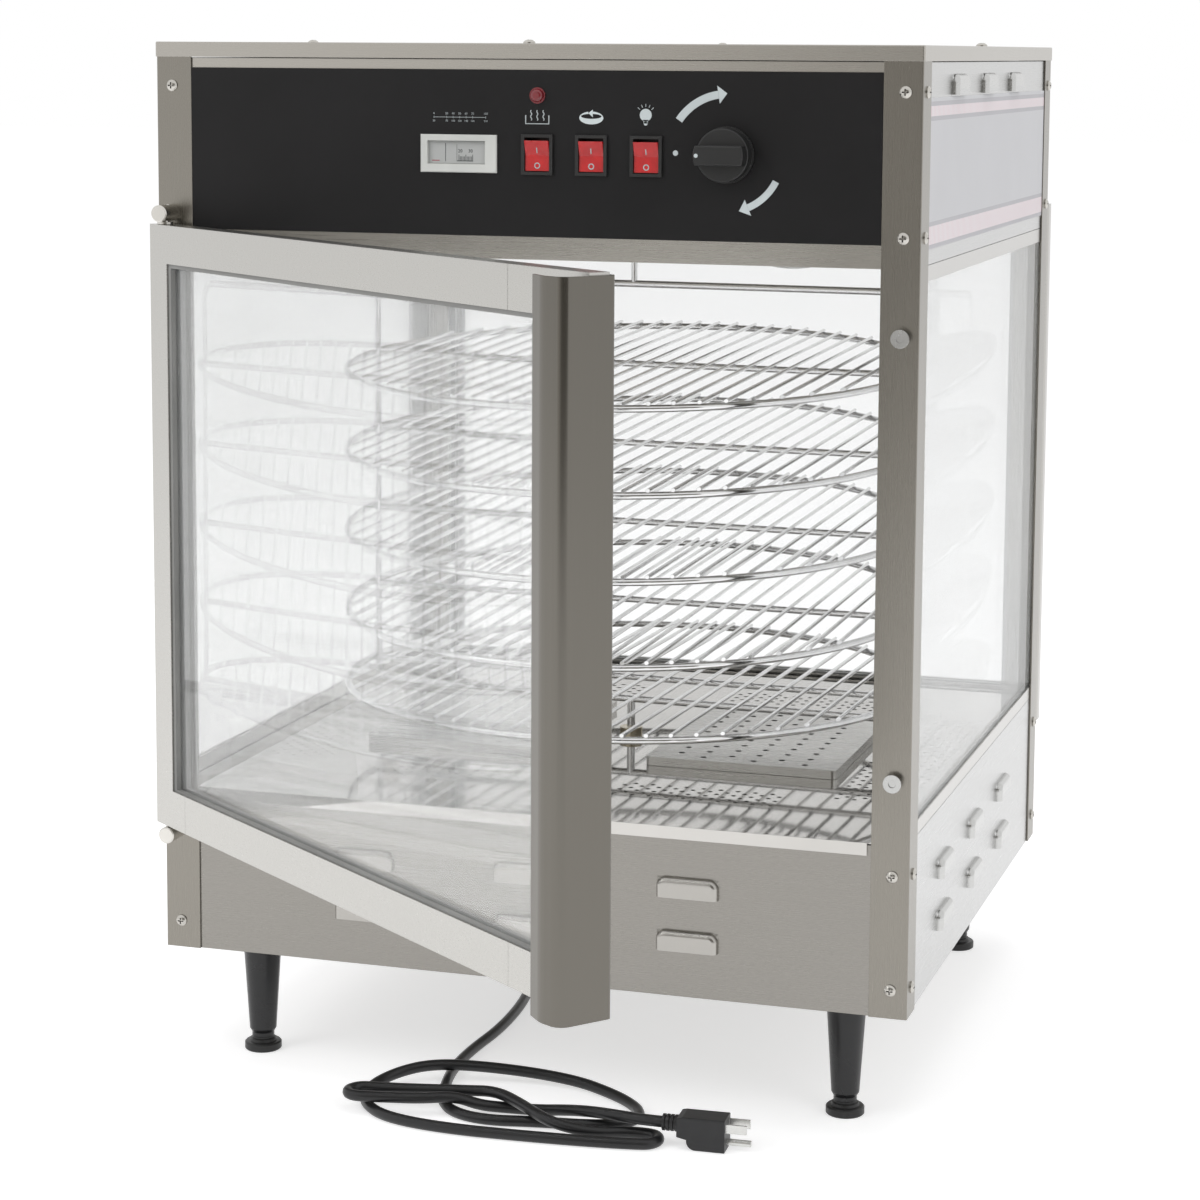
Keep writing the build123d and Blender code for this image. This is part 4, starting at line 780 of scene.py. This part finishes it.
rockerLook = {
    "keys": {"heater_key": ("rocker_heater", 0.0093), "motor_key": ("rocker_motor", 0.0486),
             "light_key": ("rocker_light", 0.0881)},
    "pivotY": -0.262,
    "height": 0.6816,
    "tilt": math.radians(8),
    "faceOut": 0.0034,
    "halfLength": 0.0106,
    "endDrop": 0.0018,
    "lift": 0.00006,
    "bar": 0.0040,
    "barUp": 0.0036,
    "ring": 0.0018,
    "ringDown": 0.0070,
    "ringSteps": 20,
    "line": 0.0008,
}


def rockerMarks(look):
    fall = look["endDrop"] / look["halfLength"]
    bar = [(0, 0, -look["bar"] / 2), (0, 0, look["bar"] / 2)]
    ring = [(look["ring"] * math.cos(angle), 0, look["ring"] * math.sin(angle))
            for angle in (math.tau * step / look["ringSteps"] for step in range(look["ringSteps"]))]
    for body, (nodeName, x) in look["keys"].items():
        bm = bmesh.new()
        key = Matrix.Translation((x, look["pivotY"], look["height"])) @ Matrix.Rotation(look["tilt"], 4, "X")
        for side, reach, path in ((1, look["barUp"], bar), (-1, look["ringDown"], ring)):
            part = bmesh.new()
            strokes(part, [path], look["line"], closed=side < 0)
            bmesh.ops.recalc_face_normals(part, faces=part.faces)
            spot = Matrix.Translation((0, -look["faceOut"] - fall * reach - look["lift"], side * reach))
            joinPart(bm, part, key @ spot @ Matrix.Rotation(side * math.atan(fall), 4, "X"))
        pieceFrom(nodeName.replace("rocker_", "mark") + "Key", bm, materials["ink"], body)


rockerMarks(rockerLook)

# Knob: pointer dot at the left end of the grip bar

knobLook = {"dot": (0.1302, 0.6835, 0.0014), "thick": 0.0001, "face": -0.29022}


def knobDot(look):
    bm = bmesh.new()
    flatDisc(bm, *look["dot"], look["thick"])
    pieceFrom("knobDot", settle(bm, look["face"]), materials["ink"], "knob")


knobDot(knobLook)
print("switches and knob marked")

# Studio: pale floor, white surround, soft lamps and a dark card behind the camera for the steel to mirror

studio = {
    "worldDiffuse": 0.66,
    "floor": {"half": 24, "colour": (0.68, 0.68, 0.685), "rough": 0.9, "glow": 0.58},
    "card": {"place": (0.75, -3.6, 1.35), "half": (2.5, 1.5), "fade": (-1.7, 0.2),
             "shades": ((0.0, (0.95, 0.94, 0.92)), (0.35, (0.8, 0.78, 0.75)), (1.0, (0.2, 0.19, 0.17)))},
    "lamps": {
        "keyLamp": {"place": (-2.2, -2.4, 2.7), "size": (1.8, 1.8), "power": 40},
        "fillLamp": {"place": (2.6, -1.9, 2.0), "size": (1.6, 1.6), "power": 16},
        "topLamp": {"place": (0.1, 0.3, 2.9), "size": (2.0, 2.0), "power": 22},
    },
    "aim": (0, 0, 0.4),
}
seenRays = ("Is Camera Ray", "Is Glossy Ray", "Is Transmission Ray")


def whiteWorld(level):
    world = bpy.data.worlds.new("studioWorld")
    bpy.context.scene.world = world
    world.use_nodes = True
    tree = world.node_tree
    background = tree.nodes["Background"]
    path = tree.nodes.new("ShaderNodeLightPath")
    seen = path.outputs[seenRays[0]]
    for ray in seenRays[1:]:
        either = tree.nodes.new("ShaderNodeMath")
        either.operation = "MAXIMUM"
        tree.links.new(seen, either.inputs[0])
        tree.links.new(path.outputs[ray], either.inputs[1])
        seen = either.outputs[0]
    strength = tree.nodes.new("ShaderNodeMapRange")
    strength.inputs["To Min"].default_value = level
    strength.inputs["To Max"].default_value = 1.0
    tree.links.new(seen, strength.inputs["Value"])
    tree.links.new(strength.outputs["Result"], background.inputs["Strength"])
    background.inputs["Color"].default_value = (1, 1, 1, 1)


def stageMesh(name, bm, material):
    piece = placed(name, meshFrom(name, bm, material))
    return piece


def floorMaterial(look):
    finish = Finish("studioFloor")
    path = finish.add("ShaderNodeLightPath")
    seen = path.outputs[seenRays[0]]
    for ray in seenRays[1:]:
        seen = finish.math("MAXIMUM", seen, path.outputs[ray])
    finish.feed("Emission Strength", finish.math("MULTIPLY", seen, look["glow"]))
    finish.setValues({"Base Color": (*look["colour"], 1), "Roughness": look["rough"],
                      "Specular IOR Level": 0.0, "Emission Color": (1, 1, 1, 1)})
    return finish.material


def cardMaterial(look):
    finish = Finish("darkCard")
    slide = finish.spread(finish.split()["X"], 0.0, 1.0, *look["fade"])
    finish.feed("Emission Color", finish.ramp(slide, look["shades"]))
    finish.setValues({"Base Color": (0, 0, 0, 1), "Roughness": 1.0, "Emission Strength": 1.0})
    return finish.material


def hangLamp(name, lamp, aim):
    data = bpy.data.lights.new(name, "AREA")
    data.shape = "RECTANGLE"
    data.size, data.size_y = lamp["size"]
    data.energy = lamp["power"]
    holder = placed(name, data)
    holder.location = lamp["place"]
    holder.rotation_euler = (Vector(aim) - Vector(lamp["place"])).to_track_quat("-Z", "Y").to_euler()
    holder.visible_glossy = False


def buildStudio(plan):
    whiteWorld(plan["worldDiffuse"])
    bm = bmesh.new()
    bmesh.ops.create_grid(bm, x_segments=1, y_segments=1, size=plan["floor"]["half"])
    stageMesh("studioFloor", bm, floorMaterial(plan["floor"]))
    bm = bmesh.new()
    wide, tall = plan["card"]["half"]
    place = Matrix.Translation(plan["card"]["place"]) @ upright @ Matrix.Diagonal((wide, tall, 1, 1))
    bmesh.ops.create_grid(bm, x_segments=2, y_segments=2, size=1, matrix=place)
    card = stageMesh("darkCard", bm, cardMaterial(plan["card"]))
    card.visible_camera = False
    card.visible_transmission = False
    card.visible_diffuse = False
    card.visible_shadow = False
    for name, lamp in plan["lamps"].items():
        hangLamp(name, lamp, plan["aim"])
    bpy.context.scene.view_settings.view_transform = "Standard"


buildStudio(studio)
print("studio lit")
